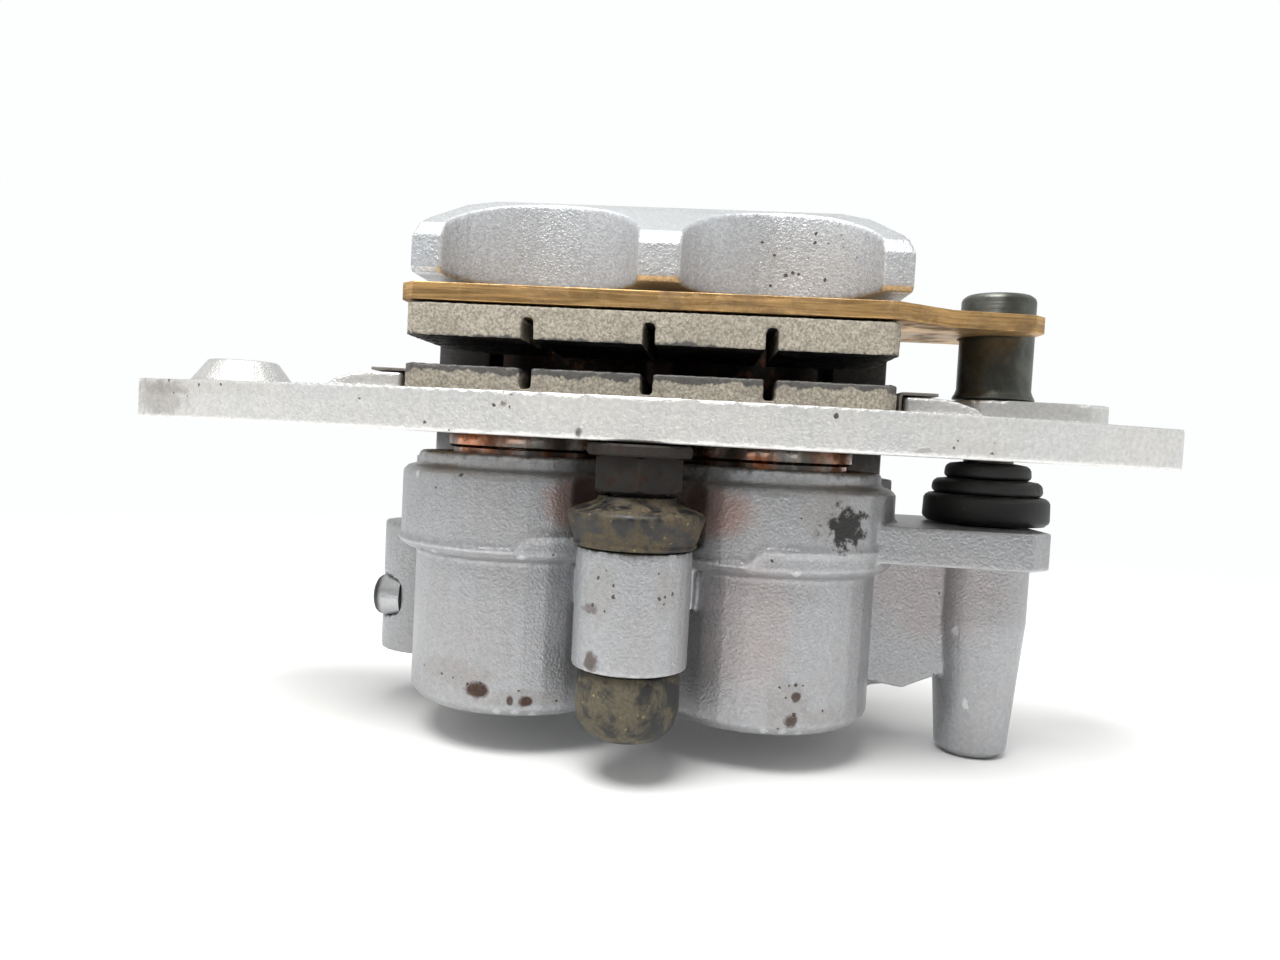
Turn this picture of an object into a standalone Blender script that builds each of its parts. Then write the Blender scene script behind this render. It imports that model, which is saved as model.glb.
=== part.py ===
"""Two-piston sliding disc brake caliper on its fork bracket, with pads, pins, boots and seals.

Frame while modelling: X runs along the bracket, Y points away from the wheel hub towards the
bridge, and Z runs from the closed ends of the cylinders to the finger that reaches over the disc.
x = 0 lies midway between the two bores, y = 0 in the plane of their axes and z = 0 on their closed
ends. The assembly empty then moves everything, so that the origin is the bottom centre of the box.
"""

import math

import bmesh
import bpy
from mathutils import Matrix

# ---- Driving dimensions, metres ------------------------------------------------------------
GAP = 0.0003  # clearance between pieces that touch on the real object
ROUND = 32  # segments of a large round piece
ROUND_SMALL = 20  # segments of a small one

BORE_SPACING = 0.0404
BORE_R = 0.0135
BORE_FLOOR_Z = 0.0050
CYLINDER_R = 0.0178
CYLINDER_CHAMFER = 0.0014
FLANGE_R = 0.0204
FLANGE_LOW_Z = 0.0244
FLANGE_TOP_Z = 0.0373
COLLAR_R = 0.0180
COLLAR_TOP_Z = 0.0398

BODY_HALF_WIDTH = 0.0419
BODY_BACK_Y = 0.0360
BODY_LOW_Z = 0.0020
BRIDGE_FRONT_Y = 0.0195
POCKET_HALF_WIDTH = 0.0320
POCKET_BACK_Y = 0.0283
FINGER_FACE_T = 0.0064
FINGER_CREST_T = 0.0170
CUTOUT_R = 0.01655

SEAL_GROOVE_Z = 0.0300
SEAL_GROOVE_T = 0.0030
SEAL_GROOVE_DEPTH = 0.0024
DUST_GROOVE_Z = 0.0352
DUST_GROOVE_T = 0.0022
DUST_GROOVE_DEPTH = 0.0019
PISTON_WALL = 0.0026
PISTON_REST_Z = 0.0080  # free space behind a piston at rest
PISTON_CUP_DEPTH = 0.0240

BRACKET_RUNNING_GAP = 0.0030  # collar to bracket
BRACKET_T = 0.0063
BRACKET_LEFT_X = -0.0867
BRACKET_RIGHT_X = 0.0830
BRACKET_FRONT_Y = -0.0278
BRACKET_FRONT_R = 0.1760
BRACKET_BACK_Y = 0.0145
BRACKET_END_R = 0.0080
ABUTMENT_T = 0.0028
ABUTMENT_WIDTH = 0.0127
ABUTMENT_HALF_DEPTH = 0.0095
MOUNT_X = -0.0713
MOUNT_Y = 0.0020
MOUNT_BASE_R = 0.0087
MOUNT_TOP_R = 0.0056
MOUNT_T = 0.0041
MOUNT_HOLE_R = 0.0034
OUTER_MOUNT_X = 0.0684
OUTER_MOUNT_R = 0.0068
OUTER_MOUNT_T = 0.0034

PAD_LIFT_Z = 0.0023  # inner pad's backing above the bracket's lower face
PAD_HALF_WIDTH = 0.0385
PAD_FRONT_Y = -0.0157
PAD_SHOULDER_Y = 0.0157
PAD_TAB_HALF_WIDTH = 0.0110
PAD_TAB_BACK_Y = 0.0265
PAD_CORNER = 0.0022
PAD_EDGE_GAP = 0.0011  # pad to bracket, room for the retainer
BACKING_T = 0.0027
FRICTION_T = 0.0054
FRICTION_HALF_WIDTH = 0.0373
FRICTION_BACK_Y = 0.0140
FRICTION_SLOT_PITCH = 0.0184
FRICTION_SLOT_W = 0.0018
FRICTION_SLOT_DEPTH = 0.0032
DISC_SLOT = 0.0042
FINGER_FLOAT = 0.0041  # outer pad to finger at rest
SHIM_T = 0.0006
SHIM_HALF_WIDTH = 0.0320
SHIM_HALF_DEPTH = 0.0125
RETAINER_T = 0.0005
EAR_NOTCH_CLEARANCE = 0.0004
EAR_FRONT_Y = -0.0076
EAR_END_X = 0.0610

CENTRE_PIN_Y = -0.0216
CENTRE_PIN_R = 0.0040
CENTRE_HEX_AF = 0.0120
CENTRE_HEX_T = 0.0050
CENTRE_WASHER_R = 0.0076
CENTRE_WASHER_T = 0.0017
BOSS_R = 0.0084
BOSS_LOW_Z = 0.0105
BOSS_TOP_Z = 0.0276
BOOT_WALL = 0.0020
BOOT_FLANGE_R = 0.0101
BOOT_BULB_R = 0.0076
BOOT_BULB_LOW_Z = -0.0006

END_PIN_X = 0.0567
END_PIN_Y = 0.0043
END_PIN_R = 0.0040
END_POST_R = 0.0059
END_POST_TOP_Z = 0.0700
END_SHOULDER_R = 0.0048
EAR_T = 0.0058
EAR_TOP_Z = 0.0321
EAR_RIGHT_X = 0.0630
EAR_FRONT_EDGE_Y = -0.0125
EAR_BACK_EDGE_Y = 0.0180
BLIND_BOSS_R = 0.0076
BLIND_BOSS_TIP_R = 0.0058
BLIND_BOSS_LOW_Z = -0.0064
BLIND_FLOOR_T = 0.0030
END_BOOT_RADII = (0.0101, 0.0082, 0.0073)

PORT_X = -0.0406
PORT_Y = 0.0155
PORT_BOSS_R = 0.0085
PORT_LOW_Z = 0.0028
PORT_TOP_Z = 0.0260
PORT_HOLE_R = 0.0044
PORT_HOLE_DEPTH = 0.0150
RIGHT_BOSS_X = 0.0374
PASSAGE_Y = 0.0108
PASSAGE_Z = 0.0126
PASSAGE_R = 0.0015
PLUG_R = 0.0036
PLUG_DEPTH = 0.0040
PLUG_PROUD = 0.0015

PAD_PIN_Y = 0.0215
PAD_PIN_R = 0.0030
PAD_PIN_HEAD_R = 0.0042
PAD_PIN_HEAD_T = 0.0060
PAD_PIN_PLUG_R = 0.0050
PAD_PIN_PLUG_T = 0.0040
PAD_PIN_END_DEPTH = 0.0080
PAD_PIN_KEY_AF = 0.0050
SPRING_T = 0.0005
SPRING_HALF_WIDTH = 0.0290

BLEED_X = 0.0310
BLEED_THREAD_R = 0.0034
BLEED_SEAT_Y = 0.0210
BLEED_BOSS_R = 0.0062
BLEED_BOSS_T = 0.0022
BLEED_HEX_AF = 0.0080
BLEED_HEX_T = 0.0040
BLEED_NIPPLE_R = 0.0026
BLEED_NIPPLE_T = 0.0090
BLEED_CAP_R = 0.0044
BLEED_CAP_T = 0.0012

# ---- Levels and places that follow from them -----------------------------------------------
BORE_XS = (-BORE_SPACING / 2, BORE_SPACING / 2)
PISTON_R = BORE_R - GAP
BRACKET_LOW_Z = COLLAR_TOP_Z + BRACKET_RUNNING_GAP
BRACKET_TOP_Z = BRACKET_LOW_Z + BRACKET_T
INNER_BACKING_Z = BRACKET_LOW_Z + PAD_LIFT_Z
INNER_FRICTION_Z = INNER_BACKING_Z + BACKING_T
INNER_FACE_Z = INNER_FRICTION_Z + FRICTION_T
OUTER_FACE_Z = INNER_FACE_Z + DISC_SLOT
OUTER_BACKING_Z = OUTER_FACE_Z + FRICTION_T
FINGER_LOW_Z = OUTER_BACKING_Z + BACKING_T + FINGER_FLOAT
SHIM_Z = INNER_BACKING_Z - GAP - SHIM_T
PISTON_TOP_Z = SHIM_Z - GAP
WINDOW_HALF_WIDTH = PAD_HALF_WIDTH + PAD_EDGE_GAP
ABUTMENT_TOP_Z = BRACKET_TOP_Z + ABUTMENT_T
BOOT_BORE_R = CENTRE_PIN_R + GAP
BOOT_SLEEVE_R = BOOT_BORE_R + BOOT_WALL
CENTRE_WASHER_Z = BRACKET_LOW_Z - GAP - CENTRE_WASHER_T
CENTRE_HEX_Z = CENTRE_WASHER_Z - CENTRE_HEX_T
EAR_LOW_Z = EAR_TOP_Z - EAR_T
NOTCH_R = END_POST_R + EAR_NOTCH_CLEARANCE
PORT_FACE_X = PORT_X - math.sqrt(PORT_BOSS_R**2 - (PORT_Y - PASSAGE_Y) ** 2)
BLEED_FACE_Y = BODY_BACK_Y + BLEED_BOSS_T
BOX_BACK_Y = BLEED_FACE_Y + GAP + BLEED_HEX_T + BLEED_NIPPLE_T + 2 * GAP + BLEED_CAP_T
ORIGIN_SHIFT = (
    -(BRACKET_LEFT_X + BRACKET_RIGHT_X) / 2,
    -(CENTRE_PIN_Y - BOOT_FLANGE_R + BOX_BACK_Y) / 2,
    -BLIND_BOSS_LOW_Z,
)

FINISHES = {  # colour, roughness, metallic
    "cast aluminium": ((0.62, 0.63, 0.65), 0.45, 0.85),
    "bracket aluminium": ((0.66, 0.66, 0.66), 0.50, 0.80),
    "chrome": ((0.75, 0.75, 0.76), 0.12, 1.0),
    "dark steel": ((0.10, 0.095, 0.09), 0.45, 0.9),
    "rusty steel": ((0.16, 0.12, 0.09), 0.65, 0.7),
    "spring steel": ((0.45, 0.43, 0.40), 0.30, 1.0),
    "plated backing": ((0.62, 0.42, 0.20), 0.40, 0.85),
    "friction material": ((0.36, 0.32, 0.27), 0.90, 0.2),
    "black rubber": ((0.035, 0.033, 0.030), 0.75, 0.0),
    "seal rubber": ((0.05, 0.05, 0.05), 0.60, 0.0),
}


# ---- Small tools ---------------------------------------------------------------------------
def clear_scene():
    for obj in list(bpy.data.objects):
        bpy.data.objects.remove(obj, do_unlink=True)


def new_collection(name):
    collection = bpy.data.collections.new(name)
    bpy.context.scene.collection.children.link(collection)
    return collection


def finish_material(name):
    material = bpy.data.materials.get(name)
    if material:
        return material
    colour, roughness, metallic = FINISHES[name]
    material = bpy.data.materials.new(name)
    material.use_nodes = True
    shader = material.node_tree.nodes["Principled BSDF"]
    shader.inputs["Base Color"].default_value = (*colour, 1.0)
    shader.inputs["Roughness"].default_value = roughness
    shader.inputs["Metallic"].default_value = metallic
    return material


def place(name, mesh, at=(0, 0, 0), turn=(0, 0, 0)):
    """A helper object: it stays in the cutters' collection until a part is made from it."""
    obj = bpy.data.objects.new(name, mesh)
    obj.location = at
    obj.rotation_euler = turn
    obj.hide_render = True
    obj.display_type = "WIRE"
    CUTTERS.objects.link(obj)
    return obj


def box(name, low, high):
    centre = [(a + b) / 2 for a, b in zip(low, high)]
    size = [b - a for a, b in zip(low, high)]
    mesh = bpy.data.meshes.new(name)
    shape = bmesh.new()
    bmesh.ops.create_cube(shape, size=1.0, matrix=Matrix.Diagonal((*size, 1.0)))
    shape.to_mesh(mesh)
    shape.free()
    return place(name, mesh, centre)


def turned(name, profile, at=(0, 0, 0), turn=(0, 0, 0), steps=ROUND, closed=False):
    """A lathe piece. The profile is (radius, height) and runs down its outer side, top to bottom."""
    edges = [(i, i + 1) for i in range(len(profile) - 1)]
    if closed:
        edges.append((len(profile) - 1, 0))
    mesh = bpy.data.meshes.new(name)
    mesh.from_pydata([(radius, 0.0, height) for radius, height in profile], edges, [])
    obj = place(name, mesh, at, turn)
    screw = obj.modifiers.new("turn", "SCREW")
    screw.steps = steps
    screw.render_steps = steps
    screw.use_merge_vertices = True
    screw.merge_threshold = 0.00001
    return obj


def rod(name, radius, low, high, at=(0, 0, 0), turn=(0, 0, 0), steps=ROUND_SMALL, tip=None):
    """A straight round bar from low to high along its own axis, or a cone when tip is its top radius."""
    top = radius if tip is None else tip
    return turned(name, [(0, high), (top, high), (radius, low), (0, low)], at, turn, steps)


def hexagon(name, across_flats, low, high, at=(0, 0, 0), turn=(0, 0, 0)):
    radius = across_flats / math.sqrt(3)
    return turned(name, [(0, high), (radius, high), (radius, low), (0, low)], at, turn, 6)


def arc(centre, radius, start, end, steps):
    """Points from start to end degrees, both included."""
    angles = [math.radians(start + (end - start) * i / steps) for i in range(steps + 1)]
    return [(centre[0] + radius * math.cos(a), centre[1] + radius * math.sin(a)) for a in angles]


def circle(centre, radius, steps=ROUND_SMALL):
    return arc(centre, radius, 0, 360 - 360 / steps, steps - 1)


def plate(name, outline, low, high, holes=(), along="Z"):
    """A flat outline of straight thickness. Along X, the outline's (u, v) are world (y, z)."""
    curve = bpy.data.curves.new(name, "CURVE")
    curve.dimensions = "2D"
    curve.fill_mode = "BOTH"
    curve.extrude = (high - low) / 2
    for points in (outline, *holes):
        spline = curve.splines.new("POLY")
        spline.points.add(len(points) - 1)
        for point, (u, v) in zip(spline.points, points):
            point.co = (u, v, 0.0, 1.0)
        spline.use_cyclic_u = True
    source = bpy.data.objects.new(name, curve)
    CUTTERS.objects.link(source)
    graph = bpy.context.evaluated_depsgraph_get()
    mesh = bpy.data.meshes.new_from_object(source.evaluated_get(graph))
    bpy.data.objects.remove(source, do_unlink=True)
    shape = bmesh.new()
    shape.from_mesh(mesh)
    bmesh.ops.remove_doubles(shape, verts=shape.verts, dist=0.000001)
    middle = (low + high) / 2
    bmesh.ops.translate(shape, verts=shape.verts, vec=(0, 0, middle))
    if along == "X":
        cycle = Matrix(((0, 0, 1, 0), (1, 0, 0, 0), (0, 1, 0, 0), (0, 0, 0, 1)))
        bmesh.ops.transform(shape, matrix=cycle, verts=shape.verts)
    if along == "Y":
        swap = Matrix(((1, 0, 0, 0), (0, 0, -1, 0), (0, 1, 0, 0), (0, 0, 0, 1)))
        bmesh.ops.transform(shape, matrix=swap, verts=shape.verts)
    bmesh.ops.recalc_face_normals(shape, faces=shape.faces)
    shape.to_mesh(mesh)
    shape.free()
    return place(name, mesh)


def combine(obj, operation, others):
    for other in others:
        boolean = obj.modifiers.new(f"{operation.lower()} {other.name}", "BOOLEAN")
        boolean.operation = operation
        boolean.object = other
        boolean.solver = "EXACT"
    return obj


def join(obj, *others):
    return combine(obj, "UNION", others)


def cut(obj, *others):
    return combine(obj, "DIFFERENCE", others)


def make_part(source, finish, axis_at=(0, 0, 0)):
    """Turns a helper into a finished node, with its origin at axis_at."""
    name = source.name.removesuffix(" blank")
    bpy.context.view_layer.update()
    graph = bpy.context.evaluated_depsgraph_get()
    mesh = bpy.data.meshes.new_from_object(source.evaluated_get(graph))
    mesh.transform(Matrix.Translation([-c for c in axis_at]) @ source.matrix_world)
    mesh.name = name
    mesh.materials.clear()
    mesh.materials.append(finish_material(finish))
    mesh.shade_smooth()
    mesh.set_sharp_from_angle(angle=math.radians(35))
    part = bpy.data.objects.new(name, mesh)
    part.location = axis_at
    part.parent = ASSEMBLY
    PARTS.objects.link(part)
    return part


# ---- Cast body -----------------------------------------------------------------------------
def body_side_outline():
    """(y, z) of the C that rear wall, bridge and finger make around the disc."""
    crest_z = FINGER_LOW_Z + FINGER_CREST_T
    face_z = FINGER_LOW_Z + FINGER_FACE_T
    back = BODY_BACK_Y
    return [
        (0.0, FINGER_LOW_Z + 0.0008),
        (0.0, face_z),
        (0.0015, face_z + 0.0022),
        (0.0140, crest_z - 0.0022),
        (0.0185, crest_z - 0.0003),
        (0.0235, crest_z),
        (0.0290, crest_z - 0.0022),
        (back - 0.0020, crest_z - 0.0075),
        (back, crest_z - 0.0130),
        (back, BODY_LOW_Z + 0.0060),
        (back - 0.0020, BODY_LOW_Z + 0.0020),
        (back - 0.0060, BODY_LOW_Z),
        (0.0080, BODY_LOW_Z),
        (0.0080, COLLAR_TOP_Z - 0.0012),
        (BRIDGE_FRONT_Y, COLLAR_TOP_Z - 0.0012),
        (BRIDGE_FRONT_Y, FINGER_LOW_Z),
        (0.0008, FINGER_LOW_Z),
    ]


def body_front_outline():
    """(x, z) of the same, seen from the hub: square sides with eased upper corners."""
    crest_z = FINGER_LOW_Z + FINGER_CREST_T
    face_z = FINGER_LOW_Z + FINGER_FACE_T
    half = BODY_HALF_WIDTH
    right = [
        (half - 0.0030, BODY_LOW_Z - 0.0010),
        (half, BODY_LOW_Z + 0.0030),
        (half, face_z - 0.0005),
        (half - 0.0012, face_z + 0.0035),
        (half - 0.0055, crest_z - 0.0022),
        (half - 0.0100, crest_z - 0.0003),
        (half - 0.0150, crest_z + 0.0010),
    ]
    left = [(-x, z) for x, z in reversed(right)]
    return right + left


def cylinder_profile():
    return [
        (0, COLLAR_TOP_Z),
        (COLLAR_R - 0.0005, COLLAR_TOP_Z),
        (COLLAR_R, COLLAR_TOP_Z - 0.0005),
        (COLLAR_R, FLANGE_TOP_Z + 0.0004),
        (FLANGE_R - 0.0008, FLANGE_TOP_Z),
        (FLANGE_R, FLANGE_TOP_Z - 0.0008),
        (FLANGE_R, FLANGE_LOW_Z + 0.0008),
        (FLANGE_R - 0.0008, FLANGE_LOW_Z),
        (CYLINDER_R, FLANGE_LOW_Z - 0.0006),
        (CYLINDER_R, CYLINDER_CHAMFER),
        (CYLINDER_R - CYLINDER_CHAMFER, 0),
        (0, 0),
    ]


def bore_profile():
    """The space of one bore with its two ring grooves, from above the collar to the floor."""
    seal_top = SEAL_GROOVE_Z + SEAL_GROOVE_T
    dust_top = DUST_GROOVE_Z + DUST_GROOVE_T
    return [
        (0, COLLAR_TOP_Z + 0.0010),
        (BORE_R, COLLAR_TOP_Z + 0.0010),
        (BORE_R, dust_top),
        (BORE_R + DUST_GROOVE_DEPTH, dust_top),
        (BORE_R + DUST_GROOVE_DEPTH, DUST_GROOVE_Z),
        (BORE_R, DUST_GROOVE_Z),
        (BORE_R, seal_top),
        (BORE_R + SEAL_GROOVE_DEPTH, seal_top),
        (BORE_R + SEAL_GROOVE_DEPTH, SEAL_GROOVE_Z),
        (BORE_R, SEAL_GROOVE_Z),
        (BORE_R, BORE_FLOOR_Z),
        (0, BORE_FLOOR_Z),
    ]


def ear_outline():
    left = BODY_HALF_WIDTH - 0.0060
    corner = 0.0035
    return [
        (left, EAR_FRONT_EDGE_Y),
        (EAR_RIGHT_X - corner, EAR_FRONT_EDGE_Y),
        (EAR_RIGHT_X, EAR_FRONT_EDGE_Y + corner),
        (EAR_RIGHT_X, EAR_BACK_EDGE_Y - 2 * corner),
        (EAR_RIGHT_X - 2 * corner, EAR_BACK_EDGE_Y),
        (left, EAR_BACK_EDGE_Y),
    ]


def body_castings():
    """What the casting is joined from, besides the C of wall, bridge and finger."""
    pieces = [turned(f"cylinder {x:+.4f}", cylinder_profile(), (x, 0, 0)) for x in BORE_XS]
    web_low = (-0.0105, -0.0080, BODY_LOW_Z + 0.0010)
    web_high = (0.0105, 0.0100, FLANGE_TOP_Z - 0.0010)
    pieces.append(box("web between cylinders", web_low, web_high))
    neck_low = (-0.0050, CENTRE_PIN_Y, BOSS_LOW_Z + 0.0010)
    neck_high = (0.0050, -0.0070, BOSS_TOP_Z - 0.0010)
    pieces.append(box("boss neck", neck_low, neck_high))
    boss_at = (0, CENTRE_PIN_Y, 0)
    pieces.append(rod("centre boss", BOSS_R, BOSS_LOW_Z, BOSS_TOP_Z, boss_at, steps=ROUND))
    pieces.append(plate("ear", ear_outline(), EAR_LOW_Z, EAR_TOP_Z))
    blind = [
        (0, EAR_TOP_Z - 0.0010),
        (BLIND_BOSS_R, EAR_TOP_Z - 0.0010),
        (BLIND_BOSS_R, EAR_LOW_Z - 0.0100),
        (BLIND_BOSS_TIP_R, BLIND_BOSS_LOW_Z + 0.0012),
        (BLIND_BOSS_TIP_R - 0.0012, BLIND_BOSS_LOW_Z),
        (0, BLIND_BOSS_LOW_Z),
    ]
    pieces.append(turned("blind boss", blind, (END_PIN_X, END_PIN_Y, 0), steps=ROUND))
    web_outline = [
        (BORE_SPACING / 2 + CYLINDER_R - 0.0030, EAR_TOP_Z - 0.0020),
        (BORE_SPACING / 2 + CYLINDER_R - 0.0030, 0.0055),
        (END_PIN_X - 0.0125, 0.0042),
        (END_PIN_X - 0.0040, 0.0080),
        (END_PIN_X - 0.0040, EAR_TOP_Z - 0.0020),
    ]
    pieces.append(plate("blind boss web", web_outline, -0.0085, -0.0010, along="Y"))
    port = (PORT_X, PORT_Y, 0)
    pieces.append(rod("port boss", PORT_BOSS_R, PORT_LOW_Z, PORT_TOP_Z, port, steps=ROUND))
    port_low = (PORT_X, PORT_Y - 0.0050, PORT_LOW_Z + 0.0010)
    port_high = (-BODY_HALF_WIDTH + 0.0100, PORT_Y + 0.0080, PORT_TOP_Z - 0.0010)
    pieces.append(box("port boss root", port_low, port_high))
    right = (RIGHT_BOSS_X, PORT_Y, 0)
    pieces.append(rod("right boss", PORT_BOSS_R, PORT_LOW_Z, PORT_TOP_Z, right, steps=ROUND))
    bleed_at = (BLEED_X, 0, PASSAGE_Z)
    to_back = (math.radians(-90), 0, 0)
    low = BODY_BACK_Y - 0.0060
    pieces.append(rod("bleed boss", BLEED_BOSS_R, low, BLEED_FACE_Y, bleed_at, to_back, ROUND))
    return pieces


def body_cuts():
    pieces = [turned(f"bore {x:+.4f}", bore_profile(), (x, 0, 0)) for x in BORE_XS]
    for x in BORE_XS:
        low = OUTER_BACKING_Z
        high = FINGER_LOW_Z + FINGER_CREST_T + 0.0050
        pieces.append(rod(f"finger cut-out {x:+.4f}", CUTOUT_R, low, high, (x, 0, 0), steps=ROUND))
    pocket_low = (-POCKET_HALF_WIDTH, BRIDGE_FRONT_Y - 0.0040, COLLAR_TOP_Z + 0.0010)
    pocket_high = (POCKET_HALF_WIDTH, POCKET_BACK_Y, FINGER_LOW_Z - 0.0002)
    pieces.append(box("pad tab pocket", pocket_low, pocket_high))
    boss_at = (0, CENTRE_PIN_Y, 0)
    relief_r = BOOT_FLANGE_R + 2 * GAP
    pieces.append(rod("boot relief", relief_r, BOSS_TOP_Z, COLLAR_TOP_Z + 0.0020, boss_at, steps=ROUND))
    sleeve_r = BOOT_SLEEVE_R + GAP
    low = BOSS_LOW_Z - 0.0050
    pieces.append(rod("centre boss bore", sleeve_r, low, BOSS_TOP_Z + 0.0010, boss_at))
    end_at = (END_PIN_X, END_PIN_Y, 0)
    floor = BLIND_BOSS_LOW_Z + BLIND_FLOOR_T
    pieces.append(rod("blind bore", END_PIN_R + GAP, floor, EAR_TOP_Z + 0.0010, end_at))
    port = (PORT_X, PORT_Y, 0)
    high = PORT_LOW_Z + PORT_HOLE_DEPTH
    pieces.append(rod("hose port", PORT_HOLE_R, PORT_LOW_Z - 0.0010, high, port))
    pieces.append(cross_drilling())
    pieces.append(bleed_drilling())
    pieces.append(pad_pin_drilling())
    return pieces


def cross_drilling():
    """The passage from the port side into both bores, with the plug's seat at its mouth."""
    mouth = -PORT_FACE_X + 0.0030
    seat = -PORT_FACE_X - PLUG_DEPTH
    profile = [
        (0, mouth),
        (PLUG_R + GAP, mouth),
        (PLUG_R + GAP, seat),
        (PASSAGE_R, seat),
        (PASSAGE_R, -BLEED_X - PASSAGE_R),
        (0, -BLEED_X - PASSAGE_R),
    ]
    at = (0, PASSAGE_Y, PASSAGE_Z)
    return turned("cross drilling", profile, at, (0, math.radians(-90), 0), 20)


def bleed_drilling():
    """From the back into the end of the cross drilling, with the bleed screw's thread and seat."""
    mouth = BLEED_FACE_Y + 0.0010
    profile = [
        (0, mouth),
        (BLEED_THREAD_R + GAP, mouth),
        (BLEED_THREAD_R + GAP, BLEED_SEAT_Y + 0.0030),
        (PASSAGE_R, BLEED_SEAT_Y),
        (PASSAGE_R * 0.9, PASSAGE_Y),
        (0, PASSAGE_Y),
    ]
    at = (BLEED_X, 0, PASSAGE_Z)
    return turned("bleed drilling", profile, at, (math.radians(-90), 0, 0), 20)


def pad_pin_drilling():
    """Stepped bore for plug, head and pin, from below the rear wall up into the finger."""
    plug_top = BODY_LOW_Z + PAD_PIN_PLUG_T + GAP
    head_top = BODY_LOW_Z + PAD_PIN_PLUG_T + 2 * GAP + PAD_PIN_HEAD_T + GAP
    pin_top = FINGER_LOW_Z + PAD_PIN_END_DEPTH + GAP
    profile = [
        (0, pin_top),
        (PAD_PIN_R + GAP, pin_top),
        (PAD_PIN_R + GAP, head_top),
        (PAD_PIN_HEAD_R + GAP, head_top),
        (PAD_PIN_HEAD_R + GAP, plug_top),
        (PAD_PIN_PLUG_R + GAP, plug_top),
        (PAD_PIN_PLUG_R + GAP, BODY_LOW_Z - 0.0010),
        (0, BODY_LOW_Z - 0.0010),
    ]
    return turned("pad pin drilling", profile, (0, PAD_PIN_Y, 0), steps=ROUND_SMALL)


def caliper_body():
    half = BODY_HALF_WIDTH
    blank = plate("caliper_body blank", body_side_outline(), -half - 0.0010, half + 0.0010, along="X")
    front = plate("body front outline", body_front_outline(), -0.0600, 0.0200, along="Y")
    combine(blank, "INTERSECT", [front])
    join(blank, *body_castings())
    cut(blank, *body_cuts())
    make_part(blank, "cast aluminium")


# ---- Hydraulics ----------------------------------------------------------------------------
def piston(name, x):
    """A cup, open towards the pad, with a groove near its mouth."""
    low = BORE_FLOOR_Z + PISTON_REST_Z
    floor = PISTON_TOP_Z - PISTON_CUP_DEPTH
    inner = PISTON_R - PISTON_WALL
    groove = PISTON_TOP_Z - 0.0030
    profile = [
        (0, floor),
        (inner, floor),
        (inner, PISTON_TOP_Z),
        (PISTON_R - 0.0004, PISTON_TOP_Z),
        (PISTON_R, PISTON_TOP_Z - 0.0004),
        (PISTON_R, groove),
        (PISTON_R - 0.0008, groove - 0.0004),
        (PISTON_R - 0.0008, groove - 0.0016),
        (PISTON_R, groove - 0.0020),
        (PISTON_R, low + 0.0010),
        (PISTON_R - 0.0010, low),
        (0, low),
    ]
    make_part(turned(f"{name} blank", profile, (x, 0, 0)), "chrome", (x, 0, 0))


def ring_seal(name, x, low, thickness, depth):
    """A square-section ring that fills its groove but for the clearance."""
    inner = PISTON_R + GAP
    outer = BORE_R + depth - GAP
    top = low + thickness - GAP
    bottom = low + GAP
    profile = [(outer, top), (outer, bottom), (inner, bottom), (inner, top)]
    make_part(turned(f"{name} blank", profile, (x, 0, 0), closed=True), "seal rubber", (x, 0, 0))


def hydraulics():
    for side, x in zip(("left", "right"), BORE_XS):
        piston(f"piston_{side}", x)
        ring_seal(f"piston_seal_{side}", x, SEAL_GROOVE_Z, SEAL_GROOVE_T, SEAL_GROOVE_DEPTH)
        ring_seal(f"dust_seal_{side}", x, DUST_GROOVE_Z, DUST_GROOVE_T, DUST_GROOVE_DEPTH)


def bleed_screw():
    """Conical seat, thread, hexagon and barbed nipple, along +Y."""
    to_back = (math.radians(-90), 0, 0)
    at = (BLEED_X, 0, PASSAGE_Z)
    hex_low = BLEED_FACE_Y + GAP
    hex_top = hex_low + BLEED_HEX_T
    tip = hex_top + BLEED_NIPPLE_T
    nipple = BLEED_NIPPLE_R
    profile = [
        (0, tip),
        (nipple * 0.6, tip),
        (nipple, tip - 0.0016),
        (nipple, tip - 0.0022),
        (nipple * 0.72, tip - 0.0030),
        (nipple * 0.72, hex_top + 0.0012),
        (nipple * 1.15, hex_top - 0.0002),
        (BLEED_THREAD_R, hex_low + 0.0001),
        (BLEED_THREAD_R, BLEED_SEAT_Y + 0.0030 + GAP),
        (PASSAGE_R, BLEED_SEAT_Y + 2 * GAP),
        (0, BLEED_SEAT_Y + 2 * GAP),
    ]
    screw = turned("bleed_screw blank", profile, at, to_back, ROUND_SMALL)
    join(screw, hexagon("bleed hexagon", BLEED_HEX_AF, hex_low, hex_top, at, to_back))
    make_part(screw, "rusty steel", at)

    low = hex_top + GAP
    high = tip + 2 * GAP
    inner = nipple * 1.15 + GAP
    profile = [
        (0, high + BLEED_CAP_T),
        (BLEED_CAP_R * 0.55, high + BLEED_CAP_T),
        (BLEED_CAP_R * 0.90, high),
        (BLEED_CAP_R * 0.84, low + 0.0026),
        (BLEED_CAP_R, low + 0.0016),
        (BLEED_CAP_R, low),
        (inner, low),
        (inner, high - GAP),
        (0, high - GAP),
    ]
    cap = turned("bleed_cap blank", profile, at, to_back, ROUND_SMALL)
    make_part(cap, "black rubber", at)


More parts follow.
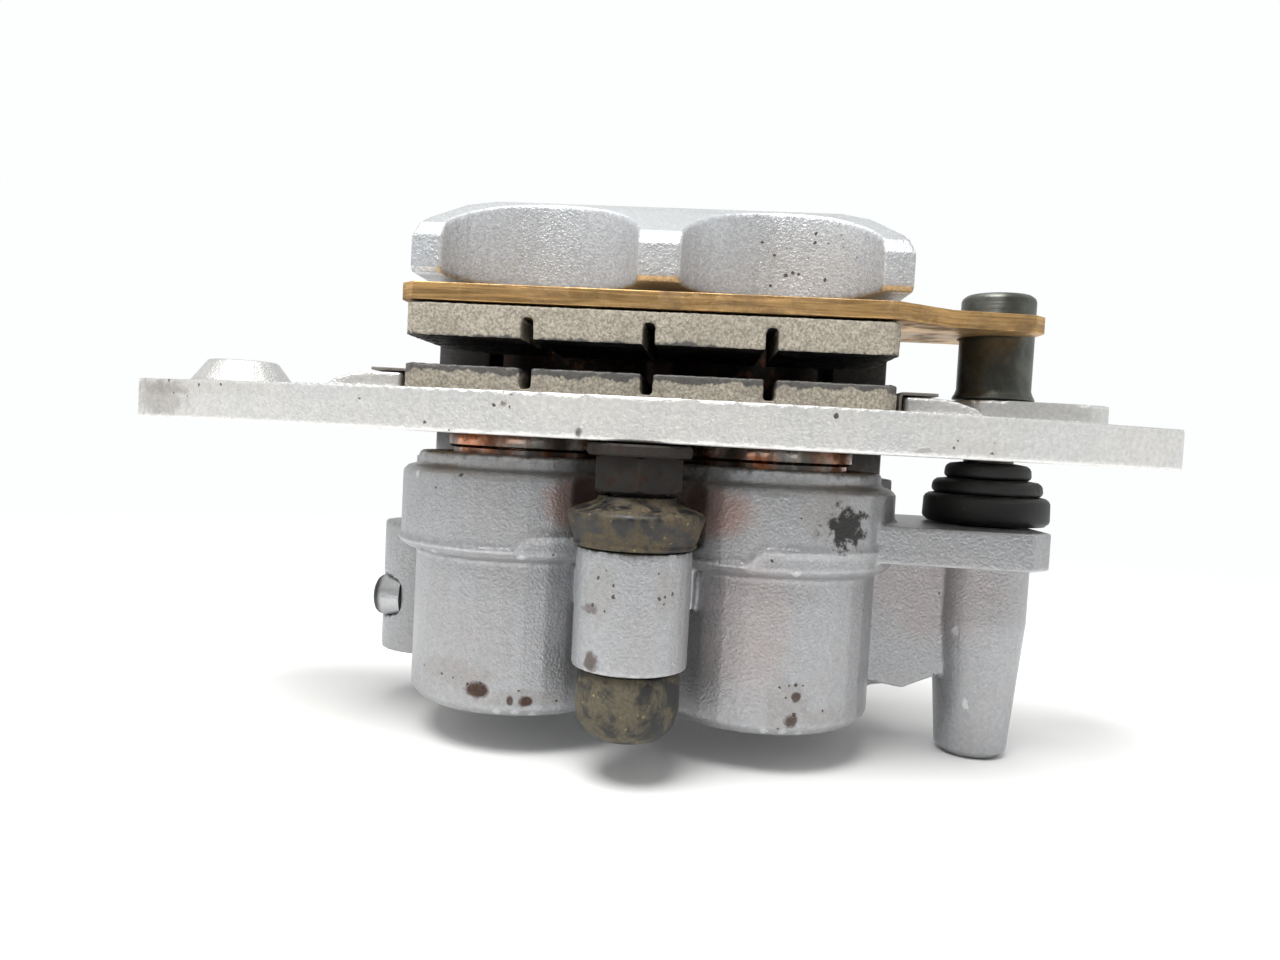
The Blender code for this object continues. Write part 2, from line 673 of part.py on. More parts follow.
def passage_plug():
    """Domed plug that closes the cross drilling on the port boss."""
    start = -PORT_FACE_X - PLUG_DEPTH + GAP
    dome = -PORT_FACE_X + PLUG_PROUD
    base = -PORT_FACE_X
    profile = [
        (0, dome),
        (PLUG_R * 0.55, dome - 0.0003),
        (PLUG_R * 0.90, dome - 0.0009),
        (PLUG_R, base),
        (PLUG_R, start),
        (0, start),
    ]
    at = (0, PASSAGE_Y, PASSAGE_Z)
    plug = turned("passage_plug blank", profile, at, (0, math.radians(-90), 0), ROUND_SMALL)
    make_part(plug, "dark steel", at)


# ---- Bracket and slide pins ----------------------------------------------------------------
def bracket_front_y(x):
    """The near edge is one long arc, closest to the hub at x = 0."""
    return BRACKET_FRONT_Y + BRACKET_FRONT_R - math.sqrt(BRACKET_FRONT_R**2 - x**2)


def bracket_outline():
    left = BRACKET_LEFT_X
    right = BRACKET_RIGHT_X
    radius = BRACKET_END_R
    steps = 20
    start = left + radius
    front = [start + (right - 0.0010 - start) * i / steps for i in range(steps + 1)]
    points = [(x, bracket_front_y(x)) for x in front]
    points.append((right, bracket_front_y(right) + 0.0010))
    points.append((right, BRACKET_BACK_Y - 0.0040))
    points.append((right - 0.0040, BRACKET_BACK_Y))
    points.append((WINDOW_HALF_WIDTH, BRACKET_BACK_Y))
    points.append((WINDOW_HALF_WIDTH, PAD_FRONT_Y - 2 * GAP))
    points.append((-WINDOW_HALF_WIDTH, PAD_FRONT_Y - 2 * GAP))
    points.append((-WINDOW_HALF_WIDTH, BRACKET_BACK_Y))
    points.append((MOUNT_X + 0.0010, BRACKET_BACK_Y))
    middle = bracket_front_y(start) + radius
    points += arc((start, middle), radius, 110, 260, 15)
    return points


def bracket_holes():
    low = BRACKET_LOW_Z - 0.0010
    high = BRACKET_TOP_Z + 0.0080
    end_pin = (END_PIN_X, END_PIN_Y, 0)
    outer_mount = (OUTER_MOUNT_X, END_PIN_Y, 0)
    off_grid = (0, 0, math.radians(4))
    return [
        rod("mount hole", MOUNT_HOLE_R, low, high, (MOUNT_X, MOUNT_Y, 0), off_grid),
        rod("outer mount hole", MOUNT_HOLE_R, low, high, outer_mount, off_grid),
        rod("centre pin hole", CENTRE_PIN_R + GAP, low, high, (0, CENTRE_PIN_Y, 0), off_grid),
        rod("end pin hole", END_SHOULDER_R + GAP, low, high, end_pin, off_grid),
    ]


def mounting_bracket():
    top = BRACKET_TOP_Z
    blank = plate("mounting_bracket blank", bracket_outline(), BRACKET_LOW_Z, top)
    root = top - 0.0020
    raised = []
    mount_profile = [
        (0, top + MOUNT_T),
        (MOUNT_TOP_R, top + MOUNT_T),
        (MOUNT_BASE_R, top - 0.0001),
        (MOUNT_BASE_R, root),
        (0, root),
    ]
    at = (MOUNT_X, MOUNT_Y, 0)
    raised.append(turned("mount boss", mount_profile, at, steps=ROUND_SMALL))
    span = OUTER_MOUNT_X - END_PIN_X
    radius = OUTER_MOUNT_R
    stadium = arc((span, 0), radius, -90, 90, 12) + arc((0, 0), radius, 90, 270, 12)
    stadium = [(x + END_PIN_X, y + END_PIN_Y) for x, y in stadium]
    raised.append(plate("outer mount boss", stadium, root, top + OUTER_MOUNT_T))
    for side in (-1, 1):
        inner_x = side * WINDOW_HALF_WIDTH
        outer_x = side * (WINDOW_HALF_WIDTH + ABUTMENT_WIDTH)
        shoulder = side * ABUTMENT_WIDTH
        outline = [
            (inner_x, root),
            (outer_x, root),
            (outer_x, top),
            (outer_x - 0.15 * shoulder, top + ABUTMENT_T * 0.55),
            (outer_x - 0.42 * shoulder, top + ABUTMENT_T * 0.92),
            (outer_x - 0.65 * shoulder, top + ABUTMENT_T),
            (inner_x, top + ABUTMENT_T),
        ]
        depth = ABUTMENT_HALF_DEPTH
        raised.append(plate(f"abutment {side:+d}", outline, -depth, depth, along="Y"))
    join(blank, *raised)
    cut(blank, *bracket_holes())
    make_part(blank, "bracket aluminium")


def centre_slide_pin():
    """Stud in the bracket, washer face, hexagon and the shank that the body slides on."""
    tip_z = BOSS_LOW_Z - 0.0050
    profile = [
        (0, BRACKET_TOP_Z - GAP),
        (CENTRE_PIN_R - 0.0006, BRACKET_TOP_Z - GAP),
        (CENTRE_PIN_R, BRACKET_TOP_Z - GAP - 0.0006),
        (CENTRE_PIN_R, CENTRE_WASHER_Z + CENTRE_WASHER_T),
        (CENTRE_WASHER_R, CENTRE_WASHER_Z + CENTRE_WASHER_T),
        (CENTRE_WASHER_R, CENTRE_WASHER_Z),
        (CENTRE_PIN_R + 0.0006, CENTRE_WASHER_Z),
        (CENTRE_PIN_R, CENTRE_HEX_Z - 0.0003),
        (CENTRE_PIN_R, tip_z + 0.0010),
        (CENTRE_PIN_R - 0.0010, tip_z),
        (0, tip_z),
    ]
    at = (0, CENTRE_PIN_Y, 0)
    pin = turned("centre_slide_pin blank", profile, at, steps=ROUND_SMALL)
    tilt = (0, 0, math.radians(5))
    hexagon_top = CENTRE_WASHER_Z + 0.0002
    join(pin, hexagon("centre pin hexagon", CENTRE_HEX_AF, CENTRE_HEX_Z, hexagon_top, at, tilt))
    make_part(pin, "rusty steel", at)


def centre_pin_boot():
    """One rubber sleeve through the boss: bellows above it and a closed bulb below it."""
    bore = BOOT_BORE_R
    sleeve = BOOT_SLEEVE_R
    flange_z = BOSS_TOP_Z + GAP
    mouth_z = CENTRE_HEX_Z - GAP - 0.0004
    bulb = BOOT_BULB_R
    low = BOOT_BULB_LOW_Z
    throat = BOSS_LOW_Z - GAP
    inner_floor = BOSS_LOW_Z - 0.0080
    profile = [
        (0, inner_floor),
        (bore, inner_floor),
        (bore, mouth_z),
        (bore + 0.0016, mouth_z),
        (bore + 0.0026, mouth_z - 0.0016),
        (BOOT_FLANGE_R - 0.0010, flange_z + 0.0058),
        (BOOT_FLANGE_R, flange_z + 0.0044),
        (BOOT_FLANGE_R, flange_z + 0.0026),
        (BOOT_FLANGE_R - 0.0008, flange_z),
        (sleeve, flange_z),
        (sleeve, throat),
        (sleeve + 0.0010, throat - 0.0006),
        (bulb, throat - 0.0035),
        (bulb, throat - 0.0062),
        (bulb - 0.0006, throat - 0.0085),
        (bulb * 0.66, low + 0.0012),
        (bulb * 0.40, low),
        (0, low),
    ]
    at = (0, CENTRE_PIN_Y, 0)
    make_part(turned("centre_pin_boot blank", profile, at, steps=32), "black rubber", at)


def end_slide_pin():
    """Post above the bracket that the outer pad hooks on, and the long shank below it."""
    tip_z = BLIND_BOSS_LOW_Z + BLIND_FLOOR_T + 0.0050
    seat_z = BRACKET_TOP_Z + OUTER_MOUNT_T + GAP
    profile = [
        (0, END_POST_TOP_Z),
        (END_POST_R - 0.0010, END_POST_TOP_Z),
        (END_POST_R, END_POST_TOP_Z - 0.0008),
        (END_POST_R, seat_z + 0.0012),
        (END_POST_R + 0.0006, seat_z),
        (END_SHOULDER_R, seat_z),
        (END_SHOULDER_R, BRACKET_LOW_Z),
        (END_PIN_R, BRACKET_LOW_Z - 0.0004),
        (END_PIN_R, tip_z + 0.0010),
        (END_PIN_R - 0.0010, tip_z),
        (0, tip_z),
    ]
    at = (END_PIN_X, END_PIN_Y, 0)
    make_part(turned("end_slide_pin blank", profile, at, steps=32), "dark steel", at)


def end_pin_boot():
    """Three-step bellows between the ear and the bracket."""
    base, ring, neck = END_BOOT_RADII
    bore = END_PIN_R + GAP
    low = EAR_TOP_Z + GAP
    top = BRACKET_LOW_Z - GAP
    rise = top - low
    fold = 0.0008
    profile = [
        (bore, top),
        (neck - fold, top),
        (neck, top - fold),
        (neck, low + 0.76 * rise),
        (neck - 2 * fold, low + 0.70 * rise),
        (ring, low + 0.66 * rise),
        (ring, low + 0.52 * rise),
        (ring - 2 * fold, low + 0.46 * rise),
        (base - fold, low + 0.42 * rise),
        (base, low + 0.34 * rise),
        (base, low + fold),
        (base - fold, low),
        (bore, low),
    ]
    at = (END_PIN_X, END_PIN_Y, 0)
    make_part(turned("end_pin_boot blank", profile, at, steps=32, closed=True), "black rubber", at)


# ---- Pads and what holds them --------------------------------------------------------------
def pad_head_outline():
    """The rear half of a backing plate, from its right shoulder over the pin tab to the left one."""
    tab = PAD_TAB_HALF_WIDTH
    right = [
        (PAD_HALF_WIDTH, PAD_SHOULDER_Y - 0.0050),
        (PAD_HALF_WIDTH - 0.0050, PAD_SHOULDER_Y),
        (tab + 0.0025, PAD_SHOULDER_Y),
        (tab, PAD_SHOULDER_Y + 0.0025),
        (tab, PAD_TAB_BACK_Y - 0.0035),
        (tab - 0.0035, PAD_TAB_BACK_Y),
    ]
    return right + [(-x, y) for x, y in reversed(right)]


def friction_block(name, backing_side_z, direction):
    """Friction material with three slots in its disc face. direction points to the disc."""
    half = FRICTION_HALF_WIDTH
    corner = 0.0012
    outline = [
        (-half + corner, PAD_FRONT_Y),
        (half - corner, PAD_FRONT_Y),
        (half, PAD_FRONT_Y + corner),
        (half, FRICTION_BACK_Y - 0.0070),
        (half - 0.0070, FRICTION_BACK_Y),
        (-half + 0.0070, FRICTION_BACK_Y),
        (-half, FRICTION_BACK_Y - 0.0070),
        (-half, PAD_FRONT_Y + corner),
    ]
    face_z = backing_side_z + direction * FRICTION_T
    low, high = sorted((backing_side_z + direction * GAP, face_z))
    block = plate(f"{name} blank", outline, low, high)
    for column in (-1, 0, 1):
        x = column * FRICTION_SLOT_PITCH
        depth_z = face_z - direction * FRICTION_SLOT_DEPTH
        out_z = face_z + direction * 0.0010
        slot_low, slot_high = sorted((depth_z, out_z))
        start = (x - FRICTION_SLOT_W / 2, PAD_FRONT_Y - 0.0010, slot_low)
        end = (x + FRICTION_SLOT_W / 2, FRICTION_BACK_Y + 0.0010, slot_high)
        cut(block, box(f"{name} slot {column:+d}", start, end))
    make_part(block, "friction material")


def inner_pad():
    front = PAD_FRONT_Y
    half = PAD_HALF_WIDTH
    outline = [(-half, front + PAD_CORNER), (-half + PAD_CORNER, front)]
    outline += [(half - PAD_CORNER, front), (half, front + PAD_CORNER)]
    outline += pad_head_outline()
    pin_hole = circle((0, PAD_PIN_Y), PAD_PIN_R + GAP)
    low = INNER_BACKING_Z
    backing = plate("inner_pad_backing blank", outline, low, low + BACKING_T, [pin_hole])
    make_part(backing, "plated backing")
    friction_block("inner_pad_friction", INNER_FRICTION_Z, 1)


def outer_pad():
    """The outer backing reaches round the front of the end pin with a hooked ear."""
    front = PAD_FRONT_Y
    half = PAD_HALF_WIDTH
    pin = (END_PIN_X, END_PIN_Y)
    outline = [(-half, front + PAD_CORNER), (-half + PAD_CORNER, front)]
    outline += [(half - 0.0020, front), (half + 0.0075, EAR_FRONT_Y - 0.0018)]
    outline += [(EAR_END_X - 0.0020, EAR_FRONT_Y), (EAR_END_X, EAR_FRONT_Y + 0.0020)]
    outline += [(EAR_END_X, END_PIN_Y - NOTCH_R)]
    outline += arc(pin, NOTCH_R, 270, 110, 12)
    outline += [(END_PIN_X - 0.0040, END_PIN_Y + NOTCH_R + 0.0022)]
    outline += [(half + 0.0030, END_PIN_Y + NOTCH_R + 0.0022)]
    outline += pad_head_outline()
    pin_hole = circle((0, PAD_PIN_Y), PAD_PIN_R + GAP)
    low = OUTER_BACKING_Z
    backing = plate("outer_pad_backing blank", outline, low, low + BACKING_T, [pin_hole])
    make_part(backing, "plated backing")
    friction_block("outer_pad_friction", OUTER_BACKING_Z, -1)


def inner_pad_shim():
    """Thin steel plate between the pistons and the inner backing."""
    half = SHIM_HALF_WIDTH
    depth = SHIM_HALF_DEPTH
    corner = 0.0040
    outline = [
        (-half + corner, -depth),
        (half - corner, -depth),
        (half, -depth + corner),
        (half, depth - corner),
        (half - corner, depth),
        (-half + corner, depth),
        (-half, depth - corner),
        (-half, -depth + corner),
    ]
    make_part(plate("inner_pad_shim blank", outline, SHIM_Z, SHIM_Z + SHIM_T), "spring steel")


def strip_outline(path, thickness):
    """The closed outline of a bent strip whose centre line is path."""
    left = []
    right = []
    for i, (u, v) in enumerate(path):
        before = path[max(i - 1, 0)]
        after = path[min(i + 1, len(path) - 1)]
        du = after[0] - before[0]
        dv = after[1] - before[1]
        length = math.hypot(du, dv)
        nu = -dv / length * thickness / 2
        nv = du / length * thickness / 2
        left.append((u + nu, v + nv))
        right.append((u - nu, v - nv))
    return left + right[::-1]


def pad_retainers():
    """Bent clips on the abutments that the pad's ends slide on."""
    middle = GAP + RETAINER_T / 2
    for name, side in (("pad_retainer_left", -1), ("pad_retainer_right", 1)):
        wall_x = side * (WINDOW_HALF_WIDTH - middle)
        over_z = ABUTMENT_TOP_Z + middle
        path = [
            (wall_x, BRACKET_LOW_Z + 0.0008),
            (wall_x, over_z - 0.0003),
            (wall_x + side * 0.0003, over_z),
            (side * (WINDOW_HALF_WIDTH + 0.0052), over_z),
        ]
        outline = strip_outline(path, RETAINER_T)
        depth = ABUTMENT_HALF_DEPTH - 0.0010
        clip = plate(f"{name} blank", outline, -depth, depth, along="Y")
        make_part(clip, "spring steel")


def pad_pin():
    """Key-headed pin through the rear wall, both pad tabs and into the finger."""
    head_low = BODY_LOW_Z + PAD_PIN_PLUG_T + 2 * GAP
    head_top = head_low + PAD_PIN_HEAD_T
    top = FINGER_LOW_Z + PAD_PIN_END_DEPTH - GAP
    radius = PAD_PIN_R
    profile = [
        (0, top),
        (radius - 0.0008, top),
        (radius, top - 0.0008),
        (radius, head_top),
        (PAD_PIN_HEAD_R, head_top),
        (PAD_PIN_HEAD_R, head_low),
        (0, head_low),
    ]
    at = (0, PAD_PIN_Y, 0)
    pin = turned("pad_pin blank", profile, at, steps=ROUND_SMALL)
    key_top = head_low + 0.0035
    cut(pin, hexagon("pad pin key", PAD_PIN_KEY_AF, head_low - 0.0010, key_top, at))
    make_part(pin, "dark steel", at)

    low = BODY_LOW_Z
    plug_top = low + PAD_PIN_PLUG_T
    plug = rod("pad_pin_plug blank", PAD_PIN_PLUG_R, low, plug_top, at, steps=ROUND_SMALL)
    slot_low = (-0.0060, PAD_PIN_Y - 0.0006, low - 0.0010)
    slot_high = (0.0060, PAD_PIN_Y + 0.0006, low + 0.0014)
    cut(plug, box("plug screwdriver slot", slot_low, slot_high))
    make_part(plug, "dark steel", at)


def pad_spring():
    """Leaf over both tabs, whose curved wings press on the pads' shoulders."""
    flat_y = PAD_TAB_BACK_Y + GAP + SPRING_T / 2
    tip_y = PAD_SHOULDER_Y + GAP + SPRING_T / 2
    reach = SPRING_HALF_WIDTH
    root = PAD_TAB_HALF_WIDTH + 0.0010
    wing = []
    steps = 8
    for i in range(steps + 1):
        share = i / steps
        x = root + (reach - 0.0035 - root) * share
        wing.append((x, flat_y + (tip_y - flat_y) * (1 - math.cos(math.pi * share)) / 2))
    wing.append((reach, tip_y + 0.0012))
    path = [(-x, y) for x, y in reversed(wing)] + wing
    low = BRACKET_TOP_Z - 0.0035
    high = FINGER_LOW_Z - 0.0015
    make_part(plate("pad_spring blank", strip_outline(path, SPRING_T), low, high), "spring steel")


# ---- Build ---------------------------------------------------------------------------------
clear_scene()
PARTS = new_collection("sliding_brake_caliper")
CUTTERS = new_collection("cutters")
ASSEMBLY = bpy.data.objects.new("assembly", None)
PARTS.objects.link(ASSEMBLY)
ASSEMBLY.location = ORIGIN_SHIFT

caliper_body()
hydraulics()
bleed_screw()
passage_plug()
mounting_bracket()
centre_slide_pin()
centre_pin_boot()
end_slide_pin()
end_pin_boot()
inner_pad_shim()
inner_pad()
outer_pad()
pad_retainers()
pad_pin()
pad_spring()
bpy.context.view_layer.update()
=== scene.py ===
"""Looks of the sliding disc brake caliper: every visible piece, its finish, and the stage."""

import math

import bpy
from mathutils import Euler, Matrix, Vector


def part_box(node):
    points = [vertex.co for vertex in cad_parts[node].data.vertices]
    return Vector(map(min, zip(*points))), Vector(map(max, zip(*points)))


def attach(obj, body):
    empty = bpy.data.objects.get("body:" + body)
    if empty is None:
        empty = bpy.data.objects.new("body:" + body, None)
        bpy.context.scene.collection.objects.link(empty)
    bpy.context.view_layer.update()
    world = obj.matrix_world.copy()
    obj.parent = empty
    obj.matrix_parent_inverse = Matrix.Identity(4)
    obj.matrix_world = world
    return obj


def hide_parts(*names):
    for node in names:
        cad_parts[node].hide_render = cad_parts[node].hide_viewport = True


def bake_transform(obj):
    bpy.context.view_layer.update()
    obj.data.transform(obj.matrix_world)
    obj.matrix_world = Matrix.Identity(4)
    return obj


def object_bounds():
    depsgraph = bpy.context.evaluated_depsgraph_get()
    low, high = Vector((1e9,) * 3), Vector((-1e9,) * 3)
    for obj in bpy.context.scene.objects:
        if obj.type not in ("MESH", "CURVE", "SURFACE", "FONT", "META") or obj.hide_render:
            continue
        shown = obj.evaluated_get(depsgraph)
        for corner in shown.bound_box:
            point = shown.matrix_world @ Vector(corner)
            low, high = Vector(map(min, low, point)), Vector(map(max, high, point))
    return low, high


bl_info = {
    "name": "Sliding Brake Caliper Looks",
    "version": (1, 0, 0),
    "blender": (4, 5, 0),
    "location": "View3D > Sidebar > Caliper",
    "description": "Models and finishes the pieces of a two-piston sliding brake caliper",
    "category": "Object",
}

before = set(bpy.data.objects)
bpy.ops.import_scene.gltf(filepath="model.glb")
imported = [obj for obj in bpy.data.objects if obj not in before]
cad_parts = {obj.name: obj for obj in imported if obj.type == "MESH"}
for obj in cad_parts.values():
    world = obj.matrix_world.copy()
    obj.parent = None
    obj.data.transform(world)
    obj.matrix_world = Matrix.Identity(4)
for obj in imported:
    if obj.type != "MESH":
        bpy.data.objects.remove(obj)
CAD_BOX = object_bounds()
MM = 0.001
HALF_TURN = math.pi


def mm(*values):
    """Sizes in millimetres, given back in metres."""
    return tuple(value * MM for value in values)


# ---- Where things are ----------------------------------------------------------------------
def low(node):
    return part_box(node)[0]


def high(node):
    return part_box(node)[1]


def middle(node):
    lowest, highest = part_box(node)
    return (lowest + highest) / 2


BORES = [middle("piston_left"), middle("piston_right")]
BORE_Y = BORES[0].y
CENTRE_PIN = middle("centre_slide_pin")
END_PIN = middle("end_slide_pin")
BLEED = middle("bleed_cap")
BODY_LOW, BODY_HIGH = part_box("caliper_body")
BRACKET_LOW, BRACKET_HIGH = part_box("mounting_bracket")
FLOOR_Z = CAD_BOX[0].z
COLLAR_TOP = BRACKET_LOW.z - 3.0 * MM
FINGER_LOW = high("outer_pad_backing").z + 4.1 * MM
FLANGE_LOW = COLLAR_TOP - 15.4 * MM
FLANGE_TOP = COLLAR_TOP - 2.5 * MM
FLANGE_R = 20.4 * MM
EAR_TOP = low("end_pin_boot").z - 0.3 * MM


# ---- Settings that a user would change ------------------------------------------------------
def length_setting(label, description, default):
    return bpy.props.FloatProperty(
        name=label, description=description, default=default, min=0.2 * MM,
        subtype="DISTANCE", unit="LENGTH", precision=5,
    )


def colour_setting(label, description, default):
    return bpy.props.FloatVectorProperty(
        name=label, description=description, subtype="COLOR", size=3, default=default
    )


class CaliperSizes(bpy.types.PropertyGroup):
    """Sizes of the detail that the solids leave out."""

    cast_grid: length_setting("Casting grid", "Cell that melts the casting's corners", 0.4 * MM)
    plate_grid: length_setting("Bracket grid", "Cell that rounds the bracket's edges", 0.38 * MM)
    round_steps: bpy.props.IntProperty(
        name="Round steps", description="Sides of a large turned piece", default=96, min=24
    )


class CaliperColours(bpy.types.PropertyGroup):
    """Base colours of the finishes, linear."""

    casting: colour_setting("Casting", "Silver coat of the cast body", (0.44, 0.455, 0.475))
    # Painted light: the bracket's coat is about twice as light as the casting's, standing in for the
    # stronger light on the upper parts.
    bracket: colour_setting("Bracket", "Silver coat of the bracket", (0.88, 0.88, 0.875))
    brass: colour_setting("Plating", "Yellow plating of the backing plates", (0.78, 0.47, 0.19))
    friction: colour_setting("Friction material", "Sintered blocks", (0.47, 0.425, 0.35))
    rubber: colour_setting("Rubber", "Boots and caps", (0.010, 0.010, 0.010))
    rust: colour_setting("Rust", "Rust spots and streaks", (0.13, 0.045, 0.016))


def sizes():
    return bpy.context.scene.caliper_sizes


def colours():
    return bpy.context.scene.caliper_colours


class Step:
    """One step of the build, which can be run and undone from the panel."""

    bl_options = {"REGISTER", "UNDO"}


# ---- Modelling tools ------------------------------------------------------------------------
def select_only(*pieces):
    bpy.ops.object.select_all(action="DESELECT")
    for piece in pieces:
        piece.select_set(True)
    bpy.context.view_layer.objects.active = pieces[-1]


def apply_modifier(piece, kind, **settings):
    select_only(piece)
    modifier = piece.modifiers.new(kind.lower(), kind)
    for key, value in settings.items():
        setattr(modifier, key, value)
    bpy.ops.object.modifier_apply(modifier=modifier.name)


def place(piece, at, turn=(0, 0, 0)):
    """Moves and turns a piece, then puts its place into its mesh."""
    piece.location = at
    piece.rotation_euler = turn
    select_only(piece)
    bpy.ops.object.transform_apply(location=True, rotation=True, scale=True)
    return piece


def join(name, *pieces):
    select_only(*pieces)
    bpy.ops.object.join()
    joined = bpy.context.active_object
    joined.name = name
    joined.data.name = name
    return joined


def copy_of(node, name):
    """A merged copy of a CAD node's mesh, free to be reshaped."""
    piece = bpy.data.objects.new(name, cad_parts[node].data.copy())
    bpy.context.scene.collection.objects.link(piece)
    piece.data.materials.clear()
    select_only(piece)
    bpy.ops.mesh.customdata_custom_splitnormals_clear()
    bpy.ops.object.mode_set(mode="EDIT")
    bpy.ops.mesh.select_all(action="SELECT")
    bpy.ops.mesh.remove_doubles(threshold=0.002 * MM)
    bpy.ops.mesh.dissolve_limited(angle_limit=math.radians(0.5))
    bpy.ops.object.mode_set(mode="OBJECT")
    return piece


def melt(piece, grid, rounds, keep=1.0):
    """Turns a piece of sharp solids into one skin with small fillets."""
    apply_modifier(piece, "REMESH", mode="VOXEL", voxel_size=grid)
    apply_modifier(piece, "SMOOTH", factor=0.5, iterations=rounds)
    if keep < 1.0:
        apply_modifier(piece, "DECIMATE", ratio=keep)


def soften(piece, width, segments=2, angle=30):
    apply_modifier(
        piece, "BEVEL", width=width, segments=segments, limit_method="ANGLE",
        angle_limit=math.radians(angle), harden_normals=False,
    )


def cut(piece, *cutters):
    for cutter in cutters:
        apply_modifier(piece, "BOOLEAN", operation="DIFFERENCE", object=cutter, solver="EXACT")
        bpy.data.objects.remove(cutter, do_unlink=True)


TURNS = {
    "Z": (0, 0, 0),
    "Y": (-HALF_TURN / 2, 0, 0),
    "-X": (0, -HALF_TURN / 2, 0),
}


def lathe(name, profile, at, axis="Z", steps=None, tube=False):
    """A turned piece: a circle is extruded along its axis and scaled at each (radius, height)."""
    steps = steps or sizes().round_steps
    radius, height = profile[0]
    bpy.ops.mesh.primitive_circle_add(vertices=steps, radius=radius, location=(0, 0, height))
    piece = bpy.context.active_object
    piece.name = name
    piece.data.name = name
    bpy.ops.object.transform_apply(location=True)
    bpy.ops.object.mode_set(mode="EDIT")
    bpy.ops.mesh.select_all(action="SELECT")
    for (r0, z0), (r1, z1) in zip(profile, profile[1:]):
        bpy.ops.mesh.extrude_region_move(TRANSFORM_OT_translate={"value": (0, 0, z1 - z0)})
        bpy.ops.transform.resize(value=(r1 / r0, r1 / r0, 1), center_override=(0, 0, z1))
    bpy.ops.mesh.select_all(action="DESELECT")
    bpy.ops.mesh.select_mode(type="EDGE")
    bpy.ops.mesh.select_non_manifold()
    if tube:
        bpy.ops.mesh.bridge_edge_loops()
    else:
        bpy.ops.mesh.fill_holes(sides=0)
    bpy.ops.mesh.select_all(action="SELECT")
    bpy.ops.mesh.normals_make_consistent(inside=False)
    bpy.ops.object.mode_set(mode="OBJECT")
    return place(piece, at, TURNS[axis])


def block(name, lowest, highest):
    """A box between two corners, from the cube primitive."""
    size = Vector(highest) - Vector(lowest)
    bpy.ops.mesh.primitive_cube_add(size=1, location=(Vector(lowest) + Vector(highest)) / 2)
    piece = bpy.context.active_object
    piece.name = name
    piece.scale = size
    bpy.ops.object.transform_apply(location=True, scale=True)
    return piece


def wire(name, points, radius):
    """A round bead along a row of points, as a mesh."""
    curve = bpy.data.curves.new(name, "CURVE")
    curve.dimensions = "3D"
    curve.bevel_depth = radius
    curve.bevel_resolution = 3
    curve.use_fill_caps = True
    spline = curve.splines.new("POLY")
    spline.points.add(len(points) - 1)
    for point, co in zip(spline.points, points):
        point.co = (*co, 1.0)
    piece = bpy.data.objects.new(name, curve)
    bpy.context.scene.collection.objects.link(piece)
    select_only(piece)
    bpy.ops.object.convert(target="MESH")
    return bpy.context.active_object


def finish_piece(piece, body, material, slot, *nodes, angle=35):
    """Shading, finish, body and the CAD nodes that the piece stands for."""
    select_only(piece)
    bpy.ops.object.shade_smooth_by_angle(angle=math.radians(angle))
    if not piece.data.materials:
        piece.data.materials.append(material)
    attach(piece, body)
    if nodes:
        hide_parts(*nodes)
    return piece


